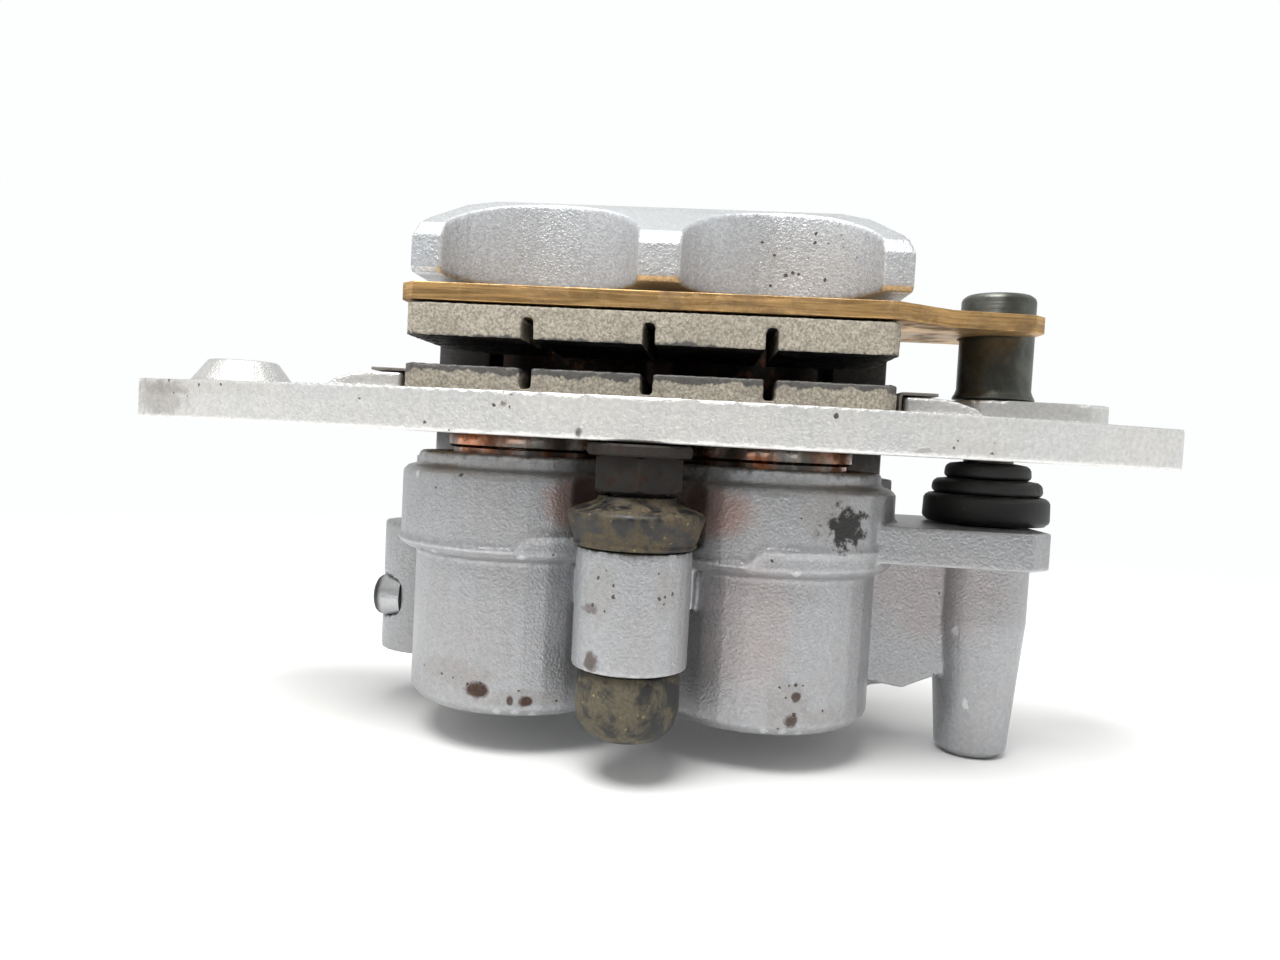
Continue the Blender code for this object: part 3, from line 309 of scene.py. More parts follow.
# ---- Shader node groups ---------------------------------------------------------------------
class NodeSheet:
    """Adds nodes to one tree and links them, so that a material reads from top to bottom."""

    def __init__(self, tree):
        self.tree = tree

    def add(self, kind, **settings):
        node = self.tree.nodes.new(kind)
        for key, value in settings.items():
            setattr(node, key, value)
        return node

    def feed(self, socket, value):
        if isinstance(value, bpy.types.NodeSocket):
            self.tree.links.new(value, socket)
        elif isinstance(value, (tuple, list, Vector)) and socket.type == "RGBA" and len(value) == 3:
            socket.default_value = (*value, 1.0)
        else:
            socket.default_value = value

    def math(self, operation, a, b=0.0):
        node = self.add("ShaderNodeMath", operation=operation)
        self.feed(node.inputs[0], a)
        self.feed(node.inputs[1], b)
        return node.outputs[0]

    def times(self, a, b):
        return self.math("MULTIPLY", a, b)

    def plus(self, a, b):
        return self.math("ADD", a, b)

    def minus(self, a, b):
        return self.math("SUBTRACT", a, b)

    def most(self, a, b):
        return self.math("MAXIMUM", a, b)

    def vector(self, operation, a, b=(0, 0, 0)):
        node = self.add("ShaderNodeVectorMath", operation=operation)
        self.feed(node.inputs[0], a)
        self.feed(node.inputs[1], b)
        return node.outputs["Value" if operation == "LENGTH" else "Vector"]

    def ramp(self, value, start, end, to_start=0.0, to_end=1.0):
        node = self.add("ShaderNodeMapRange", interpolation_type="SMOOTHSTEP")
        for socket, given in zip(node.inputs, (value, start, end, to_start, to_end)):
            self.feed(socket, given)
        return node.outputs[0]

    def noise(self, vector, scale, detail=3.0, rough=0.5, distortion=0.0):
        node = self.add("ShaderNodeTexNoise")
        self.feed(node.inputs["Vector"], vector)
        self.feed(node.inputs["Scale"], scale)
        node.inputs["Detail"].default_value = detail
        node.inputs["Roughness"].default_value = rough
        node.inputs["Distortion"].default_value = distortion
        return node.outputs["Fac"]

    def mix(self, factor, a, b):
        node = self.add("ShaderNodeMix", data_type="RGBA")
        self.feed(node.inputs["Factor"], factor)
        self.feed(node.inputs[6], a)
        self.feed(node.inputs[7], b)
        return node.outputs[2]

    def coat(self, colour, mask, share, tone):
        """Lays a share of one tone over a colour, where the mask is."""
        return self.mix(self.times(mask, share), colour, tone)

    def axes(self, vector):
        """The X, Y and Z of a vector."""
        node = self.add("ShaderNodeSeparateXYZ")
        self.feed(node.inputs[0], vector)
        return node.outputs

    def facing(self):
        return self.axes(self.add("ShaderNodeNewGeometry").outputs["Normal"])

    def place(self):
        return self.add("ShaderNodeTexCoord").outputs["Object"]

    def group(self, name, **values):
        node = self.add("ShaderNodeGroup", node_tree=bpy.data.node_groups[name])
        for key, value in values.items():
            self.feed(node.inputs[key], value)
        return node.outputs

    def patches(self, at, size, cover, edge):
        return self.group("Patches", Vector=at, Size=size, Cover=cover, Edge=edge)["Mask"]

    def flecks(self, at, spacing, amount, fleck):
        return self.group("Flecks", Vector=at, Spacing=spacing, Amount=amount, Fleck=fleck)["Mask"]


def new_group(name, inputs, outputs):
    tree = bpy.data.node_groups.new(name, "ShaderNodeTree")
    for label, kind, value in inputs:
        socket = tree.interface.new_socket(name=label, in_out="INPUT", socket_type=kind)
        if value is not None:
            socket.default_value = value
    for label, kind in outputs:
        tree.interface.new_socket(name=label, in_out="OUTPUT", socket_type=kind)
    sheet = NodeSheet(tree)
    return sheet, sheet.add("NodeGroupInput").outputs, sheet.add("NodeGroupOutput").inputs


FLOAT = "NodeSocketFloat"
VECTOR = "NodeSocketVector"
STAIN_BORDER = 0.8


def make_grain_group():
    """Fine wrinkles of a thin sprayed coat over a casting, and its coarser waviness."""
    sheet, given, out = new_group(
        "Coat Grain",
        [("Vector", VECTOR, None), ("Size", FLOAT, 0.6 * MM), ("Waviness", FLOAT, 0.4)],
        [("Height", FLOAT)],
    )
    density = sheet.math("DIVIDE", 1.0, given["Size"])
    cells = sheet.add("ShaderNodeTexVoronoi", feature="SMOOTH_F1")
    sheet.feed(cells.inputs["Vector"], given["Vector"])
    sheet.feed(cells.inputs["Scale"], density)
    fine = sheet.noise(given["Vector"], density, 4.0, 0.6, 0.3)
    wave = sheet.noise(given["Vector"], sheet.times(density, 0.16), 2.0)
    grain = sheet.plus(sheet.times(cells.outputs["Distance"], 0.5), fine)
    height = sheet.plus(grain, sheet.times(wave, given["Waviness"]))
    sheet.feed(out["Height"], height)


def make_patch_group():
    """Cloudy areas with ragged borders."""
    sheet, given, out = new_group(
        "Patches",
        [("Vector", VECTOR, None), ("Size", FLOAT, 8 * MM), ("Cover", FLOAT, 0.5), ("Edge", FLOAT, 0.1)],
        [("Mask", FLOAT)],
    )
    cloud = sheet.noise(given["Vector"], sheet.math("DIVIDE", 1.0, given["Size"]), 6.0, 0.6, 0.4)
    limit = sheet.minus(0.75, sheet.times(given["Cover"], 0.5))
    mask = sheet.ramp(
        cloud, sheet.minus(limit, given["Edge"]), sheet.plus(limit, given["Edge"])
    )
    sheet.feed(out["Mask"], mask)


def make_stain_group():
    """One spot: a ragged ellipsoid, or box, about a place on the object."""
    sheet, given, out = new_group(
        "Stain",
        [
            ("Vector", VECTOR, None), ("Centre", VECTOR, None), ("Reach", VECTOR, None),
            ("Ragged", FLOAT, 0.6), ("Grain", FLOAT, 1.5 * MM), ("Soft", FLOAT, 0.25),
            ("Boxy", FLOAT, 0.0),
        ],
        [("Mask", FLOAT)],
    )
    offset = sheet.vector("SUBTRACT", given["Vector"], given["Centre"])
    scaled = sheet.vector("DIVIDE", offset, given["Reach"])
    x, y, z = sheet.axes(sheet.vector("ABSOLUTE", scaled))
    widest = sheet.most(sheet.most(x, y), z)
    square = sheet.times(sheet.math("GREATER_THAN", given["Boxy"], 0.5), widest)
    is_round = sheet.math("LESS_THAN", given["Boxy"], 0.5)
    away = sheet.plus(square, sheet.times(is_round, sheet.vector("LENGTH", scaled)))
    cloud = sheet.noise(given["Vector"], sheet.math("DIVIDE", 1.0, given["Grain"]), 4.0, 0.65)
    bent = sheet.plus(away, sheet.times(sheet.minus(cloud, 0.5), given["Ragged"]))
    start = sheet.minus(STAIN_BORDER, given["Soft"])
    end = sheet.plus(STAIN_BORDER, given["Soft"])
    sheet.feed(out["Mask"], sheet.ramp(bent, start, end, 1.0, 0.0))


def make_wear_and_shade_group():
    """Raised edges for wear and hollows for painted shade, from the curve of the skin."""
    sheet, given, out = new_group(
        "Wear and Hollow Shade",
        [("Vector", VECTOR, None), ("Start", FLOAT, 0.52), ("End", FLOAT, 0.6), ("Breakup", FLOAT, 0.4)],
        [("Edge", FLOAT), ("Hollow", FLOAT)],
    )
    curve = sheet.add("ShaderNodeNewGeometry").outputs["Pointiness"]
    cloud = sheet.noise(given["Vector"], 900.0, 3.0, 0.6)
    shift = sheet.times(sheet.minus(cloud, 0.5), sheet.times(given["Breakup"], 0.1))
    bent = sheet.plus(curve, shift)
    sheet.feed(out["Edge"], sheet.ramp(bent, given["Start"], given["End"]))
    flipped_start = sheet.minus(1.0, given["Start"])
    flipped_end = sheet.minus(1.0, given["End"])
    sheet.feed(out["Hollow"], sheet.ramp(bent, flipped_end, flipped_start, 1.0, 0.0))


def make_fleck_group():
    """Scattered small chips and specks of dirt."""
    sheet, given, out = new_group(
        "Flecks",
        [
            ("Vector", VECTOR, None), ("Spacing", FLOAT, 3 * MM), ("Amount", FLOAT, 0.3),
            ("Fleck", FLOAT, 0.12),
        ],
        [("Mask", FLOAT)],
    )
    cells = sheet.add("ShaderNodeTexVoronoi", feature="F1")
    warp = sheet.add("ShaderNodeTexNoise")
    sheet.feed(warp.inputs["Vector"], given["Vector"])
    warp.inputs["Scale"].default_value = 1600.0
    shifted = sheet.vector("SCALE", warp.outputs["Color"])
    shifted.node.inputs["Scale"].default_value = 0.45 * MM
    sheet.feed(cells.inputs["Vector"], sheet.vector("ADD", given["Vector"], shifted))
    sheet.feed(cells.inputs["Scale"], sheet.math("DIVIDE", 1.0, given["Spacing"]))
    parts = sheet.add("ShaderNodeSeparateColor")
    sheet.feed(parts.inputs[0], cells.outputs["Color"])
    chosen = sheet.math("LESS_THAN", parts.outputs[0], given["Amount"])
    reach = sheet.times(given["Fleck"], sheet.plus(parts.outputs[1], 0.3))
    inside = sheet.math("LESS_THAN", cells.outputs["Distance"], reach)
    sheet.feed(out["Mask"], sheet.times(chosen, inside))


def make_groups():
    make_grain_group()
    make_patch_group()
    make_stain_group()
    make_wear_and_shade_group()
    make_fleck_group()


# ---- Finishes -------------------------------------------------------------------------------
COAT_METAL = 0.72


def new_finish(name, metallic, roughness):
    """A material with its Principled shader, its node sheet and the place on the object."""
    material = bpy.data.materials.new(name)
    material.use_nodes = True
    sheet = NodeSheet(material.node_tree)
    shader = material.node_tree.nodes["Principled BSDF"]
    shader.inputs["Metallic"].default_value = metallic
    shader.inputs["Roughness"].default_value = roughness
    return material, sheet, shader.inputs, sheet.place()


def bump(sheet, sockets, height, depth, strength=1.0):
    node = sheet.add("ShaderNodeBump")
    node.inputs["Strength"].default_value = strength
    node.inputs["Distance"].default_value = depth
    sheet.feed(node.inputs["Height"], height)
    sheet.feed(sockets["Normal"], node.outputs["Normal"])


def stains(sheet, vector, spots):
    """The strongest of several stains: (centre, reach, raggedness, strength) each."""
    total = 0.0
    for centre, reach, ragged, strength, *boxy in spots:
        mask = sheet.group(
            "Stain", Vector=vector, Centre=centre, Reach=reach, Ragged=ragged, Boxy=float(bool(boxy))
        )["Mask"]
        total = sheet.most(sheet.times(mask, strength), total)
    return total


def shade(colour, share):
    return tuple(share * part for part in colour)


def silver_coat(
    name, base, warm, rust=(), dark_spots=(), speckle=(), painted_reflections=(),
    grain=0.42 * MM, depth=0.11 * MM, painted_light_from=None,
):
    """Silver sprayed casting: grain, warm and cool clouds, worn edges, soot, specks and rust, with painted
    light: a lighter top, painted reddish reflections, and painted shade in hollows and in some dark spots;
    faces that point up are darker.
    """
    material, sheet, sockets, at = new_finish(name, COAT_METAL, 0.42)
    clouds = sheet.patches(at, 14 * MM, 0.5, 0.3)
    colour = sheet.mix(clouds, base, warm)
    if painted_light_from is not None:
        # Painted light: from this height up the coat turns to a lighter copy of its base, standing in for
        # the light on the upper parts.
        painted_top_light = sheet.ramp(sheet.axes(at)["Z"], painted_light_from, painted_light_from + 8 * MM)
        colour = sheet.mix(painted_top_light, colour, tuple(min(1.85 * c, 0.9) for c in base))
    fine = sheet.patches(at, 0.7 * MM, 0.5, 0.22)
    colour = sheet.coat(colour, fine, 0.42, shade(base, 0.55))
    flakes = sheet.flecks(at, 0.45 * MM, 0.3, 0.26)
    colour = sheet.coat(colour, flakes, 0.16, (0.88, 0.89, 0.91))
    # Painted reflection: a reddish tint at the listed spots stands in for a red thing mirrored in the
    # coat.
    reflection_tint = sheet.times(stains(sheet, at, painted_reflections), 0.6)
    colour = sheet.mix(reflection_tint, colour, (0.46, 0.23, 0.16))
    # Faces that point up are darkened toward grey.
    upward_darkening = sheet.times(sheet.ramp(sheet.facing()["Z"], 0.25, 0.8), 0.55)
    colour = sheet.mix(upward_darkening, colour, (0.25, 0.25, 0.245))
    wear = sheet.group("Wear and Hollow Shade", Vector=at, Start=0.515, End=0.57, Breakup=0.5)
    colour = sheet.coat(colour, wear["Edge"], 0.5, (0.80, 0.81, 0.82))
    # Painted shade: hollows are painted almost black.
    colour = sheet.coat(colour, wear["Hollow"], 0.75, (0.07, 0.065, 0.055))
    grime = stains(sheet, at, speckle)
    colour = sheet.coat(colour, grime, 0.26, (0.17, 0.13, 0.08))
    dots = sheet.flecks(at, 1.15 * MM, 0.45, 0.24)
    crumbs = sheet.times(dots, sheet.math("GREATER_THAN", grime, 0.3))
    specks = sheet.flecks(at, 3.6 * MM, 0.3, 0.09)
    specks = sheet.most(specks, crumbs)
    colour = sheet.coat(colour, specks, 0.85, (0.045, 0.028, 0.014))
    # Dark spots: real soot in some, painted shade in others, all painted almost black.
    black = stains(sheet, at, dark_spots)
    colour = sheet.mix(black, colour, (0.012, 0.011, 0.010))
    rusty = stains(sheet, at, rust)
    rust_tone = sheet.mix(fine, shade(colours().rust, 0.55), shade(colours().rust, 0.16))
    colour = sheet.mix(rusty, colour, rust_tone)
    sheet.feed(sockets["Base Color"], colour)
    dull = sheet.most(black, sheet.most(rusty, sheet.times(grime, 0.4)))
    sheet.feed(sockets["Metallic"], sheet.times(sheet.minus(1.0, dull), COAT_METAL))
    sheet.feed(sockets["Roughness"], sheet.plus(sheet.times(clouds, 0.08), 0.35))
    height = sheet.group("Coat Grain", Vector=at, Size=grain, Waviness=0.5)["Height"]
    pitted = sheet.minus(height, sheet.times(sheet.most(specks, rusty), 1.2))
    bump(sheet, sockets, pitted, depth)
    return material


def steel(name, base, rust_cover, roughness, metallic=0.85, brushed=False, rust_depth=1.0):
    """Bare steel, darkened and partly rusted."""
    material, sheet, sockets, at = new_finish(name, metallic, roughness)
    tarnish = sheet.patches(at, 3.5 * MM, 0.5, 0.25)
    colour = sheet.mix(tarnish, base, shade(base, 0.5))
    rust = sheet.patches(at, 1.6 * MM, rust_cover, 0.12)
    colour = sheet.mix(rust, colour, shade(colours().rust, rust_depth))
    wear = sheet.group("Wear and Hollow Shade", Vector=at, Start=0.53, End=0.6, Breakup=0.5)["Edge"]
    colour = sheet.coat(colour, wear, 0.5, tuple(min(1.0, 2.2 * c) for c in base))
    sheet.feed(sockets["Base Color"], colour)
    sheet.feed(sockets["Metallic"], sheet.times(sheet.minus(1.0, rust), metallic))
    sheet.feed(sockets["Roughness"], sheet.plus(sheet.times(rust, 0.35), roughness))
    scale = (60, 60, 2600) if brushed else (1500, 1500, 1500)
    lines = sheet.noise(sheet.vector("MULTIPLY", at, scale), 1.0, 3.0)
    bump(sheet, sockets, sheet.plus(lines, sheet.times(rust, 0.8)), 0.03 * MM)
    return material


def rubber(name, dust_colour, dust_cover, gloss=0.42):
    """Black rubber with dry dust in patches and scuffs."""
    material, sheet, sockets, at = new_finish(name, 0.0, gloss)
    dust = sheet.patches(at, 3.4 * MM, dust_cover, 0.09)
    fine = sheet.patches(at, 0.5 * MM, 0.62, 0.2)
    powder = sheet.times(dust, sheet.plus(sheet.times(fine, 0.6), 0.4))
    colour = sheet.mix(powder, tuple(colours().rubber), dust_colour)
    grit = sheet.flecks(at, 0.8 * MM, 0.35, 0.2)
    grit = sheet.times(grit, dust)
    colour = sheet.coat(colour, grit, 0.5, (0.42, 0.31, 0.14))
    sheet.feed(sockets["Base Color"], colour)
    sheet.feed(sockets["Roughness"], sheet.plus(sheet.times(powder, 0.45), gloss))
    height = sheet.plus(sheet.noise(at, 1800.0, 4.0, 0.6), powder)
    bump(sheet, sockets, height, 0.04 * MM)
    return material


def plated_edge():
    """Yellow plating on a punched plate: a smooth upper band, a torn lower band and dark wear."""
    material, sheet, sockets, at = new_finish("yellow plating", 0.8, 0.38)
    base = tuple(colours().brass)
    streaks = sheet.noise(sheet.vector("MULTIPLY", at, (90, 90, 2200)), 1.0, 4.0, 0.6, 0.4)
    colour = sheet.mix(sheet.ramp(streaks, 0.35, 0.7), shade(base, 0.45), base)
    worn = sheet.patches(at, 5 * MM, 0.42, 0.12)
    colour = sheet.coat(colour, worn, 0.65, (0.17, 0.115, 0.065))
    pale = sheet.patches(at, 2.2 * MM, 0.36, 0.15)
    colour = sheet.coat(colour, pale, 0.22, (0.70, 0.50, 0.27))
    sheet.feed(sockets["Base Color"], colour)
    sheet.feed(sockets["Roughness"], sheet.plus(sheet.times(worn, 0.3), 0.36))
    bump(sheet, sockets, sheet.plus(streaks, worn), 0.06 * MM)
    return material


def friction_finish():
    """Sintered block: metal grains in grey-brown, glazed dark where it met the disc, and its faces across
    the slit between the pads painted almost black as painted shade, with orange spots.
    """
    material, sheet, sockets, at = new_finish("sintered block", 0.25, 0.75)
    base = tuple(colours().friction)
    grains = sheet.noise(at, 2200.0, 5.0, 0.7)
    colour = sheet.mix(sheet.ramp(grains, 0.35, 0.65), shade(base, 0.6), shade(base, 1.25))
    shine = sheet.flecks(at, 0.45 * MM, 0.25, 0.35)
    colour = sheet.coat(colour, shine, 0.5, (0.75, 0.70, 0.58))
    smear = sheet.patches(at, 7 * MM, 0.4, 0.15)
    colour = sheet.coat(colour, smear, 0.35, shade(base, 0.55))
    height = sheet.axes(at)["Z"]
    face = (high("inner_pad_friction").z + low("outer_pad_friction").z) / 2
    away = sheet.math("ABSOLUTE", sheet.minus(height, face))
    ragged = sheet.noise(sheet.vector("MULTIPLY", at, (1, 1, 0.15)), 260.0, 4.0, 0.65)
    border = sheet.plus(away, sheet.times(sheet.minus(ragged, 0.5), -4.2 * MM))
    inner = sheet.math("LESS_THAN", height, face)
    reach = sheet.plus(sheet.times(inner, 0.95 * MM), 2.35 * MM)
    glaze = sheet.ramp(sheet.minus(border, reach), -0.15 * MM, 0.15 * MM, 1.0, 0.0)
    colour = sheet.coat(colour, glaze, 0.85, (0.075, 0.075, 0.078))
    # Painted shade: faces that point up or down, the disc faces across the narrow slit between the pads,
    # are painted almost black; orange spots lie in it.
    disc_face_shade = sheet.ramp(sheet.math("ABSOLUTE", sheet.facing()["Z"]), 0.55, 0.85)
    orange_spots = sheet.patches(at, 4 * MM, 0.2, 0.05)
    painted_light_mark = sheet.mix(orange_spots, (0.008, 0.008, 0.008), (0.16, 0.04, 0.012))
    colour = sheet.mix(disc_face_shade, colour, painted_light_mark)
    sheet.feed(sockets["Base Color"], colour)
    sheet.feed(sockets["Roughness"], sheet.ramp(glaze, 0.0, 1.0, 0.8, 0.45))
    bump(sheet, sockets, sheet.plus(grains, sheet.times(shine, 0.4)), 0.12 * MM)
    return material


def piston_finish():
    """Hard chrome with painted reflection: orange patches near its mouth stand in for the plated backing
    mirrored in it.
    """
    material, sheet, sockets, at = new_finish("chrome with painted reflection", 1.0, 0.16)
    # Painted reflection: orange patches of the plated backing mirrored in the chrome.
    painted_light_mark = sheet.patches(at, 9 * MM, 0.42, 0.12)
    colour = sheet.mix(painted_light_mark, (0.62, 0.60, 0.57), (0.70, 0.24, 0.09))
    dirt = sheet.patches(at, 4 * MM, 0.5, 0.15)
    colour = sheet.coat(colour, dirt, 0.75, (0.05, 0.045, 0.04))
    sheet.feed(sockets["Base Color"], colour)
    sheet.feed(sockets["Roughness"], sheet.plus(sheet.times(dirt, 0.3), 0.14))
    bump(sheet, sockets, sheet.noise(sheet.vector("MULTIPLY", at, (50, 50, 2500)), 1.0), 0.006 * MM)
    return material


# ---- The cast body --------------------------------------------------------------------------
BOSS_TOP = COLLAR_TOP - 12.2 * MM
BOSS_LOW = COLLAR_TOP - 29.3 * MM
BEAD_R = 0.34 * MM
BEAD_RISE = 2.4
BEAD_OVER_EDGE = 1.2
PANEL_DEPTH = 3.5 * MM
PANEL_OUTER = 34 * MM
CENTRE_RIB_HALF = 2.5 * MM


def parting_bead(side):
    """The mould's parting line: round a flange's near side, with one step up to the right."""
    centre, step_at = (BORES[0], -84) if side < 0 else (BORES[1], -101)
    points = []
    for degrees in range(-178, -1, 2):
        rise = min(max((degrees - step_at) / 6, 0.0), 1.0)
        angle = math.radians(degrees)
        across = (FLANGE_R * math.cos(angle), FLANGE_R * math.sin(angle))
        level = FLANGE_LOW + (BEAD_OVER_EDGE + BEAD_RISE * rise) * MM
        points.append((centre.x + across[0], centre.y + across[1], level))
    return wire(f"parting bead {side:+d}", points, BEAD_R)


def casting_additions():
    """Small cast shapes that melt into the body: beads, gusset and the blind boss's rib."""
    pieces = [parting_bead(-1), parting_bead(1)]
    pin = CENTRE_PIN
    gusset_low = (pin.x - 8.9 * MM, pin.y + 6.0 * MM, BOSS_LOW + 7.5 * MM)
    gusset_high = (pin.x + 8.9 * MM, pin.y + 14.0 * MM, BOSS_TOP - 0.8 * MM)
    pieces.append(block("gusset", gusset_low, gusset_high))
    rib_low = (END_PIN.x - 9.0 * MM, END_PIN.y - 1.8 * MM, EAR_TOP - 22.0 * MM)
    rib_high = (END_PIN.x - 4.0 * MM, END_PIN.y + 1.8 * MM, EAR_TOP - 3.0 * MM)
    pieces.append(block("blind boss rib", rib_low, rib_high))
    return pieces


def back_relief():
    """Two shallow panels sunk into the broad back, either side of a centre rib."""
    floor = BODY_HIGH.y - PANEL_DEPTH
    centre = (BORES[0].x + BORES[1].x) / 2
    lowest, highest = BODY_LOW.z + 17 * MM, BODY_HIGH.z - 22 * MM
    panels = []
    for start, end in ((-PANEL_OUTER, -CENTRE_RIB_HALF), (CENTRE_RIB_HALF, PANEL_OUTER)):
        corners = ((centre + start, floor, lowest), (centre + end, floor + 9 * MM, highest))
        panels.append(block("panel", *corners))
    return panels


class CALIPER_OT_cast_body(Step, bpy.types.Operator):
    """Cast body with fillets, parting line and silver coat"""

    bl_idname = "caliper.cast_body"
    bl_label = "Cast body"

    def execute(self, context):
        body = copy_of("caliper_body", "cast_body")
        cut(body, *back_relief())
        body = join("cast_body", *casting_additions(), body)
        melt(body, sizes().cast_grid, 2, 0.33)
        body.data.materials.clear()
        finish_piece(body, "caliper", body_finish(), "cast_aluminium", "caliper_body", angle=60)
        return {"FINISHED"}


def body_finish():
    """The body's silver coat, with its soot, specks and rust where they gather, painted shade in the pad
    pocket, under the bracket and between the cylinders, painted reddish reflections and a lighter painted
    top.
    """
    left, right = BORES
    near = BORE_Y - 17 * MM
    inside = Vector(((left.x + right.x) / 2, BORE_Y + 17.5 * MM, (COLLAR_TOP + FINGER_LOW) / 2))
    pin = CENTRE_PIN
    # Dark spots: the second is a real soot blob; the others are painted shade.
    dark_spots = [
        # Painted shade: the pad pocket between the pads, in deep shade, is painted almost black.
        (inside, mm(60, 16, 17.5), 0.15, 0.97, True),
        ((right.x + 10.6 * MM, near - 1 * MM, FLANGE_LOW + 7.4 * MM), mm(4.0, 6, 3.5), 2.6, 1.0),
        # Painted shade: the collar tops in the narrow gap under the bracket.
        ((left.x, BORE_Y, COLLAR_TOP + 0.6 * MM), mm(24, 22, 2.6), 1.2, 0.7),
        ((right.x, BORE_Y, COLLAR_TOP + 0.6 * MM), mm(24, 22, 2.6), 1.2, 0.7),
        # Painted shade: the valley between the cylinders, near the flange top and lower down.
        ((pin.x, BORE_Y - 11 * MM, FLANGE_TOP - 1 * MM), mm(8, 8, 9), 0.9, 0.8),
        ((left.x + 16.5 * MM, BORE_Y - 12 * MM, 18 * MM), mm(2.5, 6, 9), 0.9, 0.6),
    ]
    speckle = [
        ((right.x + 5 * MM, BORE_Y + 12 * MM, FINGER_LOW + 8 * MM), mm(11, 9, 7), 1.5, 0.6),
        ((right.x + 8.6 * MM, near - 1 * MM, FLANGE_LOW + 8.8 * MM), mm(6.0, 6, 4.2), 1.6, 0.9),
        ((left.x - 8 * MM, near, 12.5 * MM), mm(9, 8, 2.6), 1.6, 0.8),
        ((left.x + 4 * MM, near, 9.5 * MM), mm(9, 8, 1.5), 1.6, 0.8),
        ((right.x + 3.2 * MM, near, 11.2 * MM), mm(4, 8, 4.6), 1.6, 0.8),
        ((right.x + 9 * MM, near, 9.5 * MM), mm(6, 8, 1.5), 1.6, 0.7),
        ((pin.x - 4 * MM, pin.y - 7 * MM, BOSS_TOP - 5 * MM), mm(3, 5, 6), 1.8, 0.8),
        ((pin.x + 5 * MM, pin.y - 7 * MM, BOSS_TOP - 5 * MM), mm(1.8, 5, 4), 1.8, 0.7),
    ]
    rust = [
        ((left.x - 2.9 * MM, near, 10.4 * MM), mm(2.3, 4, 1.5), 0.9, 1.0),
        ((left.x + 4.6 * MM, near, 9.1 * MM), mm(1.15, 4, 0.95), 0.8, 1.0),
        ((left.x + 2.2 * MM, near, 9.1 * MM), mm(0.6, 4, 0.9), 0.8, 0.9),
        ((right.x + 4.6 * MM, near, 12.6 * MM), mm(0.8, 4, 0.8), 1.4, 0.9),
        ((right.x + 4.0 * MM, near, 9.0 * MM), mm(1.1, 4, 1.2), 1.4, 0.9),
        ((pin.x - 4.8 * MM, pin.y - 7 * MM, BOSS_LOW + 1.8 * MM), mm(1.3, 4, 1.6), 1.4, 0.8),
        ((pin.x - 5.4 * MM, pin.y - 6 * MM, BOSS_LOW + 9.0 * MM), mm(1.4, 4, 0.8), 1.8, 0.6),
    ]
    # Painted reflections of a red tag: reddish tints on both flange tops, the right cylinder and the end
    # ear.
    painted_reflections = [
        ((left.x + 11 * MM, near + 2 * MM, FLANGE_TOP - 4 * MM), mm(7, 9, 5), 0.7, 0.8),
        ((right.x - 9 * MM, near + 2 * MM, FLANGE_TOP - 4 * MM), mm(9, 9, 5), 0.7, 0.8),
        ((right.x - 4 * MM, near, 22 * MM), mm(9, 9, 12), 0.5, 0.22),
        ((END_PIN.x - 8 * MM, END_PIN.y - 4 * MM, 28 * MM), mm(14, 9, 12), 0.5, 0.2),
    ]
    base = tuple(colours().casting)
    warm = (base[0] * 1.02, base[1] * 0.95, base[2] * 0.92)
    # Painted light: from just under the finger up, the casting is painted lighter.
    painted_light_from = FINGER_LOW - 6 * MM
    return silver_coat("silver casting", base, warm, rust, dark_spots, speckle, painted_reflections, painted_light_from=painted_light_from)


# ---- Bracket --------------------------------------------------------------------------------
class CALIPER_OT_bracket(Step, bpy.types.Operator):
    """Fork bracket with rounded edges and silver coat"""

    bl_idname = "caliper.bracket"
    bl_label = "Fork bracket"

    def execute(self, context):
        bracket = copy_of("mounting_bracket", "fork_bracket")
        melt(bracket, sizes().plate_grid, 3, 0.7)
        base = tuple(colours().bracket)
        warm = (base[0], base[1] * 0.97, base[2] * 0.93)
        near = BRACKET_LOW.y + 2 * MM
        level = BRACKET_LOW.z + 3.2 * MM
        pin = CENTRE_PIN
        rust = [
            ((pin.x - 19 * MM, near + 1 * MM, level + 1.2 * MM), mm(0.8, 4, 0.8), 1.8, 0.7),
            ((pin.x + 40 * MM, near + 4 * MM, BRACKET_LOW.z + 1.0 * MM), mm(2.0, 5, 0.5), 1.8, 0.4),
            ((BRACKET_LOW.x + 6 * MM, near + 12 * MM, level), mm(9, 12, 4), 1.2, 0.35),
        ]
        speckle = [
            ((BRACKET_LOW.x + 14 * MM, END_PIN.y - 14 * MM, level + 2 * MM), mm(22, 20, 1.6), 1.5, 0.7),
            ((pin.x - 19 * MM, near + 1 * MM, level + 1.5 * MM), mm(4, 4, 1.6), 1.6, 0.7),
            ((pin.x + 46 * MM, near + 5 * MM, level - 1.5 * MM), mm(8, 6, 1.2), 1.6, 0.6),
        ]
        nick = [((pin.x - 8.2 * MM, near, BRACKET_LOW.z + 1.0 * MM), mm(0.8, 3, 0.9), 1.4, 0.9)]
        coat = silver_coat("silver bracket", base, warm, rust, nick, speckle, (), 0.4 * MM, 0.09 * MM)
        finish_piece(bracket, "bracket", coat, "bracket_aluminium", "mounting_bracket", angle=60)
        return {"FINISHED"}


